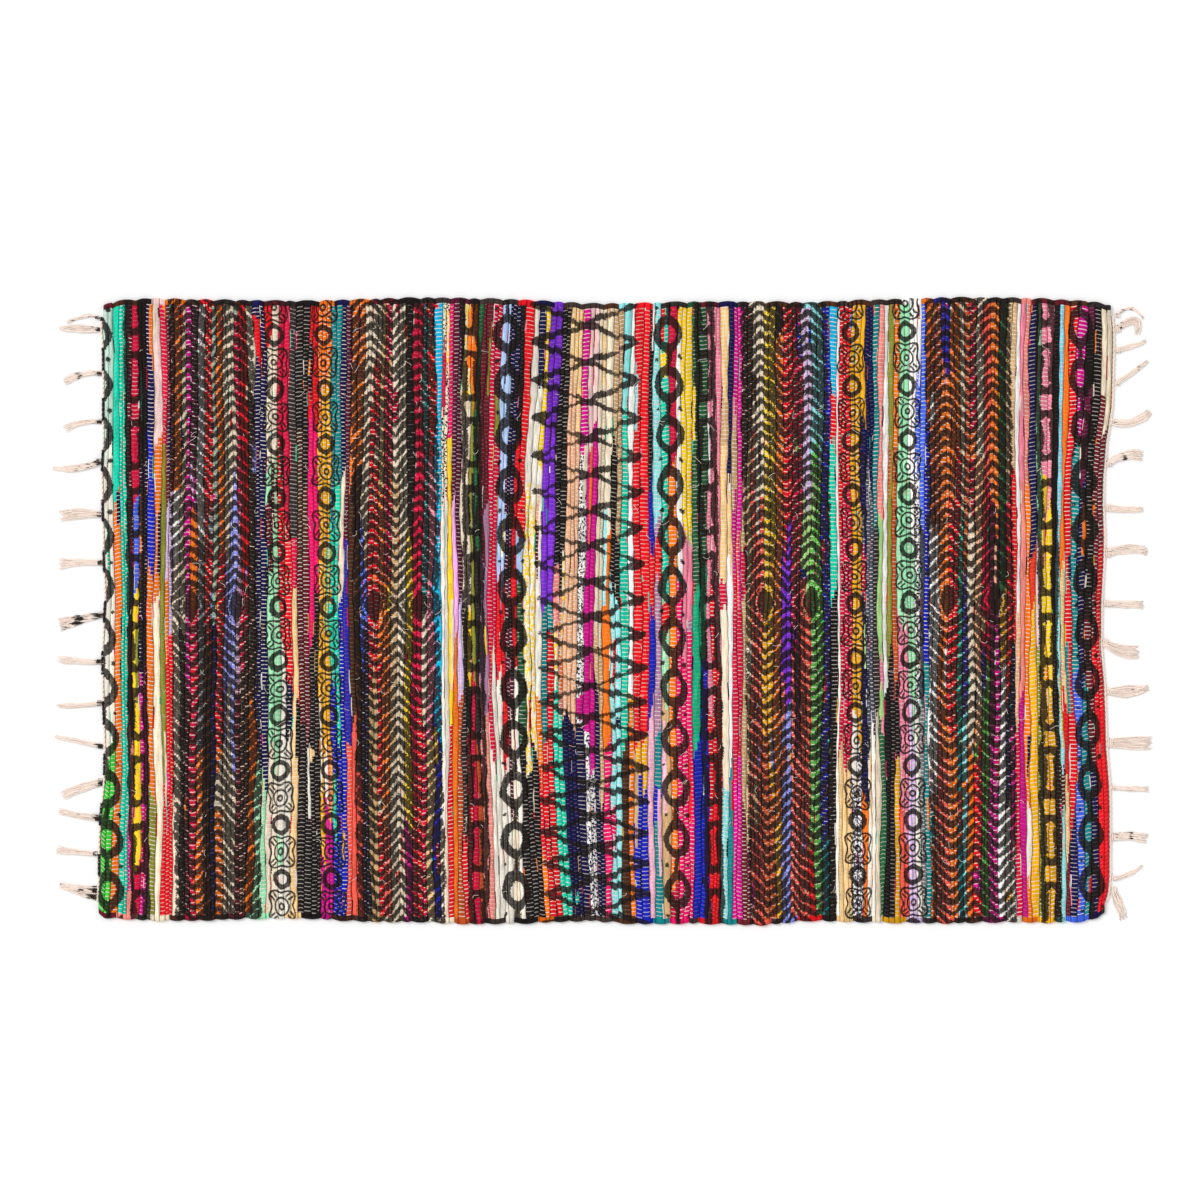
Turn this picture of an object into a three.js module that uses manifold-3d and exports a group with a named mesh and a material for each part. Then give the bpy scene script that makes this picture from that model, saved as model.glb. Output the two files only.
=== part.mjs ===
// Handwoven rag rug lying flat: one woven cloth with a knotted cotton fringe at either end.
// Millimetres. +X runs the long way, along the warp. +Y runs along the weft rows. +Z is up.

import * as THREE from 'three';
import Module from 'manifold-3d';

const solids = await Module();
solids.setup();

// Driving sizes of the cloth
const LEFT_CORNER_X = -739;
const RIGHT_CORNER_X = 734;
const HALF_WIDTH = 450;
const WEFT_ROWS = 208;
const ROW_CREST = 7.4;
const ROW_VALLEY = 4.9;
const RAG_UNEVENNESS = 0.45;
const SELVEDGE_LIP = 2.6;
const SELVEDGE_ROUNDING = 6;
const SELVEDGE_UNDERCUT = 2;
const SHOULDER_SHARE = 0.94;
const TURN_BULGE_PER_ROW = 0.65;
const FAR_TURN_SHIFT = 7;
const END_LIP = 2.3;

// Driving sizes of the heading strip and the locks of the fringe
const HEADING_WIDTH = 4;
const HEADING_GAP = 0.3;
const LOCK_STEPS = 4;
const LOCK_FILL = 0.78;
const LOCK_ROOT_OUT = 2.5;
const LOCK_ROOT_RISE = 1.2;
const LOCK_ROOT_HEIGHT = 2.6;
const LOCK_TIP_HEIGHT = 1.2;
const SHORTER_LOCK_STEP = 0.03;
const LOCK_LENGTHS = 4;

// Weft rows counted at each selvedge between one turn of the rag bundle and the next
const ROWS_PER_TURN = [3, 4, 2, 5, 3, 3, 4, 2, 4, 5, 3];

// How far in from an end the rows still follow each small wave of that end
const END_WAVE_REACH = 60;

// Places along a row, from one selvedge (0) to the other (1), where a row in the field has its points
const FIELD_COLUMNS = [1 / 3, 2 / 3];
const UNDERSIDE_COLUMNS = [1 / 2];
const ROWS_PER_UNDERSIDE_LINE = 2;

// Reads a table's rows under the names of its columns
const withColumns = (names, rows) =>
  rows.map((row) => Object.fromEntries(names.map((name, column) => [name, row[column]])));

// Section of the heading strip outward from the cloth
const HEADING_PROFILE = withColumns(['out', 'height'], [
  [0, 0],
  [0, 3.7],
  [1.8, 4.4],
  [4, 2.6],
  [4, 0],
]);

// Sections of a knot outward from the heading's edge: spare is how far it stands to either side of the
// bunch's neck, and ridge the share of its width that its flat top has
const KNOT_PROFILE = withColumns(['out', 'spare', 'height', 'ridge'], [
  [-2, 0.6, 3, 0.7],
  [2.5, 2, 5.4, 0.6],
  [7, 1.4, 4.2, 0.7],
]);

// Outer edge of the heading at either end, from the near selvedge to the far one
const END_LINES = withColumns(['y', 'left', 'right'], [
  [-442, -744, 727],
  [-425, -743, 731],
  [-400, -741, 733],
  [-345, -741, 733],
  [-300, -738, 733],
  [-260, -734, 732],
  [-210, -733, 728],
  [-170, -734, 727],
  [-115, -736, 725],
  [-55, -736, 720],
  [15, -732, 721],
  [65, -734, 724],
  [110, -735, 725],
  [160, -736, 723],
  [200, -737, 724],
  [250, -735, 728],
  [305, -735, 736],
  [385, -735, 738],
  [420, -738, 738],
  [442, -737, 736],
]);

// Mean line of the two selvedges, before the bulges of the rag turns
const SELVEDGES = withColumns(['x', 'near', 'far'], [
  [-745, -428, 430],
  [-739, -440, 436],
  [-732, -445, 446],
  [-713, -446, 451],
  [-665, -449, 455],
  [-592, -449, 453],
  [-520, -446, 452],
  [-433, -446, 451],
  [-345, -451, 454],
  [-258, -451, 456],
  [-207, -454, 455],
  [-127, -453, 453],
  [-25, -449, 447],
  [47, -454, 448],
  [134, -453, 450],
  [222, -456, 450],
  [294, -449, 449],
  [367, -451, 452],
  [491, -453, 456],
  [571, -451, 456],
  [643, -452, 454],
  [694, -450, 451],
  [716, -443, 448],
  [730, -430, 445],
  [737, -415, 441],
]);

// How far the rows bow along +X halfway between the selvedges, by their place along the rug
const ROW_BOWS = withColumns(['along', 'bow'], [
  [0, 6],
  [0.03, 4],
  [0.16, 0],
  [0.33, -4],
  [0.44, -13],
  [0.54, -7],
  [0.62, 3],
  [0.72, -4],
  [0.8, 0],
  [0.95, -6],
  [1, -14],
]);

// Bunches of warp ends. y is the root's place along the heading; out runs away from the rug and rise
// towards +Y, both from the root; bend is the point that the bunch curves towards on its way to the tip.
const BUNCH_COLUMNS = ['y', 'bendOut', 'bendRise', 'tipOut', 'tipRise', 'neck', 'belly', 'end', 'locks'];

const LEFT_BUNCHES = withColumns(BUNCH_COLUMNS, [
  [427, 18, 8, 49, -7, 2, 4, 4, 2],
  [410, 27, 1, 60, 2, 5, 10, 5, 5],
  [346, 28, 4, 56, -13, 5, 7, 13, 5],
  [276, 28, 3, 56, -11, 4, 6, 10, 4],
  [218, 35, -13, 71, -10, 6, 10, 4, 5],
  [141, 29, 4, 62, -2, 6, 15, 16, 7],
  [71, 33, 1, 64, -2, 6, 8, 16, 5],
  [-5, 33, -5, 65, -15, 5, 12, 19, 7],
  [-73, 33, -1, 64, 4, 5, 7, 11, 4],
  [-133, 32, -5, 67, -4, 5, 6, 6, 3],
  [-196, 33, 7, 71, 14, 5, 6, 5, 3],
  [-248, 26, -4, 60, -20, 9, 12, 14, 7],
  [-300, 31, 3, 61, 10, 8, 8, 9, 5],
  [-352, 30, 2, 61, 6, 5, 7, 13, 5],
  [-409, 28, 3, 55, 12, 20, 13, 8, 7],
]);

const RIGHT_BUNCHES = withColumns(BUNCH_COLUMNS, [
  [430, 26, 23, 42, -5, 2, 3, 3, 2],
  [410, 40, 30, 32, -9, 6, 12, 8, 5],
  [380, 21, 4, 46, 13, 6, 6, 5, 4],
  [332, 23, 11, 49, 33, 5, 6, 6, 4],
  [276, 30, -9, 58, 15, 8, 9, 13, 6],
  [214, 23, 18, 54, 13, 5, 10, 17, 6],
  [151, 31, -5, 56, -2, 9, 8, 7, 4],
  [85, 34, 10, 62, 2, 11, 12, 12, 6],
  [12, 27, -1, 59, -2, 8, 9, 11, 5],
  [-44, 24, -17, 53, -15, 8, 17, 20, 8],
  [-116, 30, -3, 62, 5, 8, 19, 8, 7],
  [-191, 32, -1, 65, -1, 12, 18, 22, 8],
  [-256, 27, -2, 57, -2, 4, 7, 9, 3],
  [-328, 26, 5, 52, -3, 9, 10, 16, 6],
  [-388, 25, 3, 45, 19, 4, 5, 3, 3],
  [-404, 7, -11, 18, -44, 7, 13, 12, 5],
]);

// Straight-line reading of one column of a table between its rows
function read(table, key, value, column) {
  const next = table.findIndex((row) => row[key] >= value);
  if (next === 0) return table[0][column];
  if (next === -1) return table.at(-1)[column];
  const low = table[next - 1];
  const high = table[next];
  return THREE.MathUtils.mapLinear(value, low[key], high[key], low[column], high[column]);
}

// Even arch over a row: 0 at both selvedges and 1 halfway
const arch = (across) => 4 * across * (1 - across);

// Outward wave of an end beyond the smooth bow of the rows beside it
function endWave(side, across) {
  const corner = side === 'left' ? LEFT_CORNER_X : RIGHT_CORNER_X;
  const bow = side === 'left' ? ROW_BOWS[0].bow : ROW_BOWS.at(-1).bow;
  const y = THREE.MathUtils.lerp(-HALF_WIDTH, HALF_WIDTH, across);
  return read(END_LINES, 'y', y, side) - corner - bow * arch(across);
}

// X of a row's line: along runs 0 to 1 from the left end to the right, across 0 to 1 between selvedges
function rowX(along, across) {
  const inset = HEADING_WIDTH + HEADING_GAP;
  const left = LEFT_CORNER_X + inset;
  const right = RIGHT_CORNER_X - inset;
  const fromLeft = along * (right - left);
  const fromRight = (1 - along) * (right - left);
  const leftShare = Math.max(0, 1 - fromLeft / END_WAVE_REACH);
  const rightShare = Math.max(0, 1 - fromRight / END_WAVE_REACH);
  return left + fromLeft + read(ROW_BOWS, 'along', along, 'bow') * arch(across)
    + leftShare * endWave('left', across) + rightShare * endWave('right', across);
}

// Outward bulge of a selvedge where the rag bundle turns, by the number of rows from the left end
function turnBulge(row) {
  const cycle = ROWS_PER_TURN.reduce((sum, rows) => sum + rows, 0);
  let left = row % cycle;
  const turn = ROWS_PER_TURN.findIndex((rows) => {
    if (left < rows) return true;
    left -= rows;
    return false;
  });
  const rows = ROWS_PER_TURN[turn];
  return TURN_BULGE_PER_ROW * rows * (Math.sin((Math.PI * left) / rows) - 0.5);
}

// Rags differ in bulk, so rows gain or lose a little height, from row to row and slowly along each row
function ragHeight(row, across) {
  const perRow = Math.sin(2.4 * row);
  const alongRow = Math.sin(0.9 * row + 3 * Math.PI * across);
  return RAG_UNEVENNESS * (perRow + 0.7 * alongRow);
}

// The two selvedge points of a row's line, where the turns of one edge are shifted from the other's
function selvedgePoints(row) {
  const along = row / WEFT_ROWS;
  const nearX = rowX(along, 0);
  const farX = rowX(along, 1);
  return [
    { x: nearX, y: read(SELVEDGES, 'x', nearX, 'near') - turnBulge(row) },
    { x: farX, y: read(SELVEDGES, 'x', farX, 'far') + turnBulge(row + FAR_TURN_SHIFT) },
  ];
}

// Shares of the width at which the rows near an end follow its waves
const END_COLUMNS = END_LINES.map((line) => (line.y + HALF_WIDTH) / (2 * HALF_WIDTH));

function columnsAt(row, fieldColumns) {
  const rowsInReach = WEFT_ROWS * END_WAVE_REACH / (RIGHT_CORNER_X - LEFT_CORNER_X);
  const nearEnd = row < rowsInReach || row > WEFT_ROWS - rowsInReach;
  return nearEnd ? END_COLUMNS : fieldColumns;
}

const isEndRow = (row) => row === 0 || row === WEFT_ROWS;

// Height of the top on a row's line: a valley at a whole row count, a crest at a half
function fullHeight(row, across) {
  if (isEndRow(row)) return END_LIP;
  return (Number.isInteger(row) ? ROW_VALLEY : ROW_CREST) + ragHeight(row, across);
}

// Points of a line between its selvedges, at the given shares of the width and inset at both
function pointsBetween(row, [near, far], shares, inset, heightAt) {
  return shares.map((across) => ({
    x: rowX(row / WEFT_ROWS, across),
    y: THREE.MathUtils.lerp(near.y + inset, far.y - inset, across),
    z: heightAt(across),
    place: across,
  }));
}

// Line across the top: lip and shoulder at each selvedge, and the field between them
function topLine(row) {
  const edges = selvedgePoints(row);
  const [near, far] = edges;
  const lip = isEndRow(row) ? END_LIP : SELVEDGE_LIP;
  const shoulderShare = isEndRow(row) ? 1 : SHOULDER_SHARE;
  const field = pointsBetween(row, edges, columnsAt(row, FIELD_COLUMNS), SELVEDGE_ROUNDING,
    (across) => fullHeight(row, across));
  const nearShoulder = { x: near.x, y: near.y + SELVEDGE_ROUNDING, z: shoulderShare * fullHeight(row, 0) };
  const farShoulder = { x: far.x, y: far.y - SELVEDGE_ROUNDING, z: shoulderShare * fullHeight(row, 1) };
  return [
    { ...near, z: lip, place: -1 },
    { ...nearShoulder, place: 0 },
    ...field,
    { ...farShoulder, place: 1 },
    { ...far, z: lip, place: 2 },
  ];
}

// Line across the flat underside, which at an end lies straight below the top's
function undersideLine(row) {
  if (isEndRow(row)) return topLine(row).map((point) => ({ ...point, z: 0 }));
  const edges = selvedgePoints(row);
  const [near, far] = edges;
  return [
    { x: near.x, y: near.y + SELVEDGE_UNDERCUT, z: 0, place: 0 },
    ...pointsBetween(row, edges, columnsAt(row, UNDERSIDE_COLUMNS), SELVEDGE_UNDERCUT, () => 0),
    { x: far.x, y: far.y - SELVEDGE_UNDERCUT, z: 0, place: 1 },
  ];
}

// Collects shared points and the triangles between them
class ShellBuilder {
  constructor() {
    this.positions = [];
    this.triangles = [];
  }

  add(point) {
    this.positions.push(point.x, point.y, point.z);
    return this.positions.length / 3 - 1;
  }

  addLine(points) {
    return points.map((point) => ({ index: this.add(point), place: point.place }));
  }

  // Triangles between two lines, matched by their points' places, whose counts may differ
  zip(lineA, lineB) {
    let a = 0;
    let b = 0;
    while (a < lineA.length - 1 || b < lineB.length - 1) {
      const nextA = a < lineA.length - 1 ? lineA[a + 1].place : Infinity;
      const nextB = b < lineB.length - 1 ? lineB[b + 1].place : Infinity;
      if (nextA <= nextB) {
        this.triangles.push(lineA[a].index, lineA[a + 1].index, lineB[b].index);
        a += 1;
      } else {
        this.triangles.push(lineA[a].index, lineB[b + 1].index, lineB[b].index);
        b += 1;
      }
    }
  }

  // The finished closed geometry, turned so that its faces point out
  geometry() {
    const corner = (i) => new THREE.Vector3().fromArray(this.positions, 3 * i);
    let volume = 0;
    for (let t = 0; t < this.triangles.length; t += 3) {
      const [a, b, c] = this.triangles.slice(t, t + 3).map(corner);
      volume += a.dot(b.cross(c)) / 6;
    }
    if (volume < 0) this.triangles.reverse();
    const geometry = new THREE.BufferGeometry();
    geometry.setAttribute('position', new THREE.Float32BufferAttribute(this.positions, 3));
    geometry.setIndex(this.triangles);
    geometry.computeVertexNormals();
    return geometry;
  }
}

// The woven cloth: ribbed rows on top, rag turns at the selvedges, flat below
function clothGeometry() {
  const shell = new ShellBuilder();
  const topLines = [];
  for (let half = 0; half <= 2 * WEFT_ROWS; half += 1) {
    topLines.push(shell.addLine(topLine(half / 2)));
  }
  const underLines = [];
  for (let row = 0; row <= WEFT_ROWS; row += ROWS_PER_UNDERSIDE_LINE) {
    underLines.push(shell.addLine(undersideLine(row)));
  }
  for (let i = 1; i < topLines.length; i += 1) shell.zip(topLines[i], topLines[i - 1]);
  for (let i = 1; i < underLines.length; i += 1) shell.zip(underLines[i - 1], underLines[i]);

  const lipsAt = (end) => topLines.map((line, half) => ({ index: line.at(end).index, place: half / 2 }));
  const feetAt = (end) => underLines.map((line, i) =>
    ({ index: line.at(end).index, place: i * ROWS_PER_UNDERSIDE_LINE }));
  shell.zip(feetAt(0), lipsAt(0));
  shell.zip(lipsAt(-1), feetAt(-1));
  shell.zip(topLines[0], underLines[0]);
  shell.zip(underLines.at(-1), topLines.at(-1));
  return shell.geometry();
}

// A closed body lofted through like sections, each a ring of the same number of points
function loft(sections) {
  const shell = new ShellBuilder();
  const rings = sections.map((section) => section.map((point) => shell.add(point)));
  const sides = rings[0].length;
  for (let k = 1; k < rings.length; k += 1) {
    for (let i = 0; i < sides; i += 1) {
      const j = (i + 1) % sides;
      shell.triangles.push(rings[k - 1][i], rings[k - 1][j], rings[k][j]);
      shell.triangles.push(rings[k - 1][i], rings[k][j], rings[k][i]);
    }
  }
  for (let i = 1; i < sides - 1; i += 1) {
    shell.triangles.push(rings[0][0], rings[0][i + 1], rings[0][i]);
    shell.triangles.push(rings.at(-1)[0], rings.at(-1)[i], rings.at(-1)[i + 1]);
  }
  return shell.geometry();
}

const outwardOf = (side) => (side === 'left' ? -1 : 1);

// The heading strip follows the cloth's last line at a small even gap, and stops short of the corners
function headingGeometry(side) {
  const outward = outwardOf(side);
  const line = topLine(side === 'left' ? 0 : WEFT_ROWS).slice(2, -2);
  return loft(line.map(({ x, y }) => HEADING_PROFILE.map(({ out, height }) => (
    { x: x + outward * (HEADING_GAP + out), y, z: height }
  ))));
}

// Low flat-based lump where a bunch of warp ends is knotted at the heading
function knotGeometry(side, bunch) {
  const edgeX = read(END_LINES, 'y', bunch.y, side);
  return loft(KNOT_PROFILE.map(({ out, spare, height, ridge }) => {
    const x = edgeX + outwardOf(side) * out;
    const halfWidth = bunch.neck / 2 + spare;
    return [
      { x, y: bunch.y - halfWidth, z: 0 },
      { x, y: bunch.y - ridge * halfWidth, z: height },
      { x, y: bunch.y + ridge * halfWidth, z: height },
      { x, y: bunch.y + halfWidth, z: 0 },
    ];
  }));
}

// Path of a bunch over the floor from inside its knot to its tip
function bunchPath(side, bunch) {
  const edgeX = read(END_LINES, 'y', bunch.y, side);
  const point = (out, rise) => new THREE.Vector3(edgeX + outwardOf(side) * out, bunch.y + rise, 0);
  return new THREE.QuadraticBezierCurve3(
    point(LOCK_ROOT_OUT, 0),
    point(bunch.bendOut, bunch.bendRise),
    point(bunch.tipOut, bunch.tipRise),
  );
}

function bunchWidth(bunch, t) {
  if (t < 0.5) return THREE.MathUtils.lerp(bunch.neck, bunch.belly, 2 * t);
  return THREE.MathUtils.lerp(bunch.belly, bunch.end, 2 * t - 1);
}

// One three-sided lock of a bunch, in its own lane beside the others, lying level on its flat base
function lockGeometry(side, bunch, lock) {
  const path = bunchPath(side, bunch);
  const lane = (lock + 0.5) / bunch.locks - 0.5;
  const reach = 1 - SHORTER_LOCK_STEP * ((3 * lock + bunch.locks) % LOCK_LENGTHS);
  const sections = Array.from({ length: LOCK_STEPS + 1 }, (_, step) => {
    const t = (reach * step) / LOCK_STEPS;
    const forward = path.getTangent(t);
    const sideways = new THREE.Vector3(-forward.y, forward.x, 0);
    const middle = path.getPoint(t).addScaledVector(sideways, lane * bunchWidth(bunch, t));
    const halfLock = (LOCK_FILL * bunchWidth(bunch, t)) / bunch.locks / 2;
    const foot = step === 0 ? LOCK_ROOT_RISE : 0;
    const height = THREE.MathUtils.lerp(LOCK_ROOT_HEIGHT, LOCK_TIP_HEIGHT, step / LOCK_STEPS);
    return [
      middle.clone().addScaledVector(sideways, -halfLock).setZ(foot),
      middle.clone().addScaledVector(sideways, halfLock).setZ(foot),
      middle.clone().setZ(foot + height),
    ];
  });
  return loft(sections);
}

function toSolid(geometry) {
  return new solids.Manifold(new solids.Mesh({
    numProp: 3,
    vertProperties: new Float32Array(geometry.attributes.position.array),
    triVerts: new Uint32Array(geometry.index.array),
  }));
}

// Heading strip, knots and locks joined into one body
function fringeGeometry(side, bunches) {
  const pieces = [headingGeometry(side)];
  bunches.forEach((bunch) => {
    pieces.push(knotGeometry(side, bunch));
    for (let lock = 0; lock < bunch.locks; lock += 1) pieces.push(lockGeometry(side, bunch, lock));
  });
  const joined = pieces.map(toSolid).reduce((whole, piece) => whole.add(piece));
  const { vertProperties, triVerts } = joined.getMesh();
  const geometry = new THREE.BufferGeometry();
  geometry.setAttribute('position', new THREE.Float32BufferAttribute(vertProperties, 3));
  geometry.setIndex(Array.from(triVerts));
  geometry.computeVertexNormals();
  return geometry;
}

const ragWeave = new THREE.MeshStandardMaterial({ color: 0x6b3a3f, roughness: 0.95, metalness: 0 });
const creamCotton = new THREE.MeshStandardMaterial({ color: 0xe9dccb, roughness: 0.9, metalness: 0 });

function named(name, geometry, material) {
  const mesh = new THREE.Mesh(geometry, material);
  mesh.name = name;
  return mesh;
}

const rug = new THREE.Group();
rug.name = 'rag_rug';
rug.add(
  named('rug_body', clothGeometry(), ragWeave),
  named('fringe_left', fringeGeometry('left', LEFT_BUNCHES), creamCotton),
  named('fringe_right', fringeGeometry('right', RIGHT_BUNCHES), creamCotton),
);

// The origin is the middle of the whole rug's outline, on the floor
const middle = new THREE.Box3().setFromObject(rug).getCenter(new THREE.Vector3());
rug.position.set(-middle.x, -middle.y, 0);

export default rug;
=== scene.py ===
import math

import bpy
import numpy as np
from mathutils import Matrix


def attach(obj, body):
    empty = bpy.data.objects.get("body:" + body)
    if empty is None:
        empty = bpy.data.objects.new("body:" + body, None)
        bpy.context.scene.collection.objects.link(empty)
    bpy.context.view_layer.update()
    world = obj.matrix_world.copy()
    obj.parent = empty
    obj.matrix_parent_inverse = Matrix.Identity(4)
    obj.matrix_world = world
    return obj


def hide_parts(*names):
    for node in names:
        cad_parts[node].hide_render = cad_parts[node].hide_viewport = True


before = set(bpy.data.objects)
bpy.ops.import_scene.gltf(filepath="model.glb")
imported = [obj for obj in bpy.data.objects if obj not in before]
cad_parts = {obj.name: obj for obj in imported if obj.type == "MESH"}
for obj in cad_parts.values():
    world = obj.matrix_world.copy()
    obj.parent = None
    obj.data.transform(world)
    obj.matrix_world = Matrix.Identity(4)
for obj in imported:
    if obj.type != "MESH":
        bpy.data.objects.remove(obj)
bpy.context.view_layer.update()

# Camera, floor and light
# The rug lies on a plain pale floor and is seen from straight above, in even soft light that comes a
# little more from the upper left, so that the rows and the knots show their relief.
MM = 0.001
FRAME_WIDTH = 1.7448
FRAME_MIDDLE = (-0.0035, 0.0165)
CAMERA_HEIGHT = 8.0
CAMERA_HEIGHT = 8.0
CAMERA_REACH = 60.0
SENSOR_WIDTH = 36.0

camera_data = bpy.data.cameras.new("camera")
camera_data.sensor_width = SENSOR_WIDTH
camera_data.lens = SENSOR_WIDTH * CAMERA_HEIGHT / FRAME_WIDTH
camera_data.clip_end = CAMERA_REACH
camera = bpy.data.objects.new("camera", camera_data)
camera.location = (*FRAME_MIDDLE, CAMERA_HEIGHT)
bpy.context.scene.collection.objects.link(camera)
bpy.context.scene.camera = camera
bpy.context.scene.view_settings.view_transform = "Standard"


def linear(hex_colour):
    """The linear red, green, blue and alpha of an sRGB colour such as f3ead6."""
    channels = [int(hex_colour[k : k + 2], 16) / 255 for k in (0, 2, 4)]
    return [c / 12.92 if c <= 0.04045 else ((c + 0.055) / 1.055) ** 2.4 for c in channels] + [1.0]


def add(tree, kind, inputs=None, **settings):
    """A shader node with its settings, and its inputs, each a value, a socket or a node to link from."""
    node = tree.nodes.new("ShaderNode" + kind)
    for name, value in settings.items():
        setattr(node, name, value)
    for name, value in (inputs or {}).items():
        if isinstance(value, bpy.types.Node):
            value = next(socket for socket in value.outputs if socket.enabled)
        if isinstance(value, bpy.types.NodeSocket):
            tree.links.new(value, node.inputs[name])
        else:
            node.inputs[name].default_value = value
    return node


def new_material(name):
    """A node material whose tree is still empty, and the tree."""
    material = bpy.data.materials.new(name)
    material.use_nodes = True
    material.node_tree.nodes.clear()
    return material, material.node_tree


def mesh_piece(name, points, face_groups, material):
    """An object from points in millimetres and arrays of faces, each array with one number of corners."""
    corners = np.concatenate([group.ravel() for group in face_groups])
    sizes = np.concatenate([np.full(len(group), group.shape[1]) for group in face_groups])
    mesh = bpy.data.meshes.new(name)
    mesh.vertices.add(len(points))
    mesh.vertices.foreach_set("co", (np.asarray(points) * MM).astype(np.float32).ravel())
    mesh.loops.add(len(corners))
    mesh.loops.foreach_set("vertex_index", corners.astype(np.int32))
    mesh.polygons.add(len(sizes))
    mesh.polygons.foreach_set("loop_start", np.concatenate([[0], np.cumsum(sizes)[:-1]]).astype(np.int32))
    mesh.polygons.foreach_set("use_smooth", np.ones(len(sizes), bool))
    mesh.update(calc_edges=True)
    mesh.materials.append(material)
    piece = bpy.data.objects.new(name, mesh)
    bpy.context.scene.collection.objects.link(piece)
    return piece


FLOOR_SIDE = 12000.0
floor_material, floor_tree = new_material("matt_white_floor")
# Matt white paint: an even pale ground with no gloss
floor_paint = add(floor_tree, "BsdfPrincipled", {
    "Base Color": linear("ffffff"), "Roughness": 0.9, "Specular IOR Level": 0.1})
add(floor_tree, "OutputMaterial", {"Surface": floor_paint})
floor_corners = np.array([[-1, -1, 0], [1, -1, 0], [1, 1, 0], [-1, 1, 0]]) * FLOOR_SIDE / 2
floor = mesh_piece("floor", floor_corners, [np.array([[0, 1, 2, 3]])], floor_material)

SKY_STRENGTH, LAMP_STRENGTH = 0.735, 1.28
LAMP_WIDTH = math.radians(28)
LAMP_LEAN = (math.radians(-24), math.radians(-38), 0)
world = bpy.data.worlds.new("soft_daylight")
world.use_nodes = True
sky = world.node_tree.nodes["Background"].inputs
sky["Color"].default_value = linear("ffffff")
sky["Strength"].default_value = SKY_STRENGTH
bpy.context.scene.world = world

lamp_data = bpy.data.lights.new("window_lamp", "SUN")
lamp_data.energy = LAMP_STRENGTH
lamp_data.angle = LAMP_WIDTH
lamp = bpy.data.objects.new("window_lamp", lamp_data)
lamp.rotation_euler = LAMP_LEAN
bpy.context.scene.collection.objects.link(lamp)

# Woven cloth
# Strips of cut scrap cloth are the weft, thick ones and thin ones, beaten down over a thin cream cotton
# warp that shows as short ticks. Places along the rug are counted in 208 rows of about 7 mm. The weft
# turns round the outer warp ends, so both selvedges are lobes of rag.
GROUP_SHIFT = (7.357, -0.201)
ROWS = 208
HALF_WIDTH = 450.0
LEFT_CORNER_X = -739.0
RIGHT_CORNER_X = 734.0
HEADING_WIDTH = 4.0
HEADING_GAP = 0.3
ROW_VALLEY = 4.9
ROW_CREST = 7.4
RAG_UNEVENNESS = 0.45
END_LIP = 2.3
END_WAVE_REACH = 60.0
SELVEDGE_LIP = 2.6
SELVEDGE_ROUNDING = 6.0
SELVEDGE_UNDERCUT = 2.0
TURN_BULGE_PER_ROW = 0.65
FAR_TURN_SHIFT = 7
ROWS_PER_TURN = np.array([3, 4, 2, 5, 3, 3, 4, 2, 4, 5, 3])
TURN_STARTS = np.concatenate([[0], np.cumsum(ROWS_PER_TURN)])

# Outer edge of the heading: place across the rug, then its left and its right line
END_LINES = np.array([
    [-442, -744, 727], [-425, -743, 731], [-400, -741, 733], [-345, -741, 733], [-300, -738, 733],
    [-260, -734, 732], [-210, -733, 728], [-170, -734, 727], [-115, -736, 725], [-55, -736, 720],
    [15, -732, 721], [65, -734, 724], [110, -735, 725], [160, -736, 723], [200, -737, 724],
    [250, -735, 728], [305, -735, 736], [385, -735, 738], [420, -738, 738], [442, -737, 736]])
# Mean line of the selvedges: place along the rug, then the near and the far line
SELVEDGES = np.array([
    [-745, -428, 430], [-739, -440, 436], [-732, -445, 446], [-713, -446, 451], [-665, -449, 455],
    [-592, -449, 453], [-520, -446, 452], [-433, -446, 451], [-345, -451, 454], [-258, -451, 456],
    [-207, -454, 455], [-127, -453, 453], [-25, -449, 447], [47, -454, 448], [134, -453, 450],
    [222, -456, 450], [294, -449, 449], [367, -451, 452], [491, -453, 456], [571, -451, 456],
    [643, -452, 454], [694, -450, 451], [716, -443, 448], [730, -430, 445], [737, -415, 441]])
# Bow of the rows halfway between the selvedges, by their share of the way along the rug
ROW_BOWS = np.array([
    [0, 6], [0.03, 4], [0.16, 0], [0.33, -4], [0.44, -13], [0.54, -7],
    [0.62, 3], [0.72, -4], [0.8, 0], [0.95, -6], [1, -14]])


def read(table, value, column):
    """Straight-line reading of one column of a table at a value of its first column."""
    return np.interp(value, table[:, 0], table[:, column])


def arch(across):
    return 4 * across * (1 - across)


def row_x(along, across):
    """X of a row's line, with shares along the rug and across it."""
    inset = HEADING_WIDTH + HEADING_GAP
    left = LEFT_CORNER_X + inset
    right = RIGHT_CORNER_X - inset
    place = -HALF_WIDTH + 2 * HALF_WIDTH * across
    left_wave = read(END_LINES, place, 1) - LEFT_CORNER_X - ROW_BOWS[0, 1] * arch(across)
    right_wave = read(END_LINES, place, 2) - RIGHT_CORNER_X - ROW_BOWS[-1, 1] * arch(across)
    near_left = np.maximum(0, 1 - along * (right - left) / END_WAVE_REACH)
    near_right = np.maximum(0, 1 - (1 - along) * (right - left) / END_WAVE_REACH)
    return (left + along * (right - left) + read(ROW_BOWS, along, 1) * arch(across)
            + near_left * left_wave + near_right * right_wave)


def rag_turn(row):
    """Rows in the turn at a selvedge, the share of it that has passed, and its middle row."""
    passed = np.mod(row, TURN_STARTS[-1])
    turn = np.searchsorted(TURN_STARTS, passed, side="right") - 1
    rows = ROWS_PER_TURN[turn]
    return rows, (passed - TURN_STARTS[turn]) / rows, row - passed + TURN_STARTS[turn] + rows / 2


def turn_bulge(row):
    rows, share, _ = rag_turn(row)
    return TURN_BULGE_PER_ROW * rows * (np.sin(np.pi * share) - 0.5)


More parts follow.
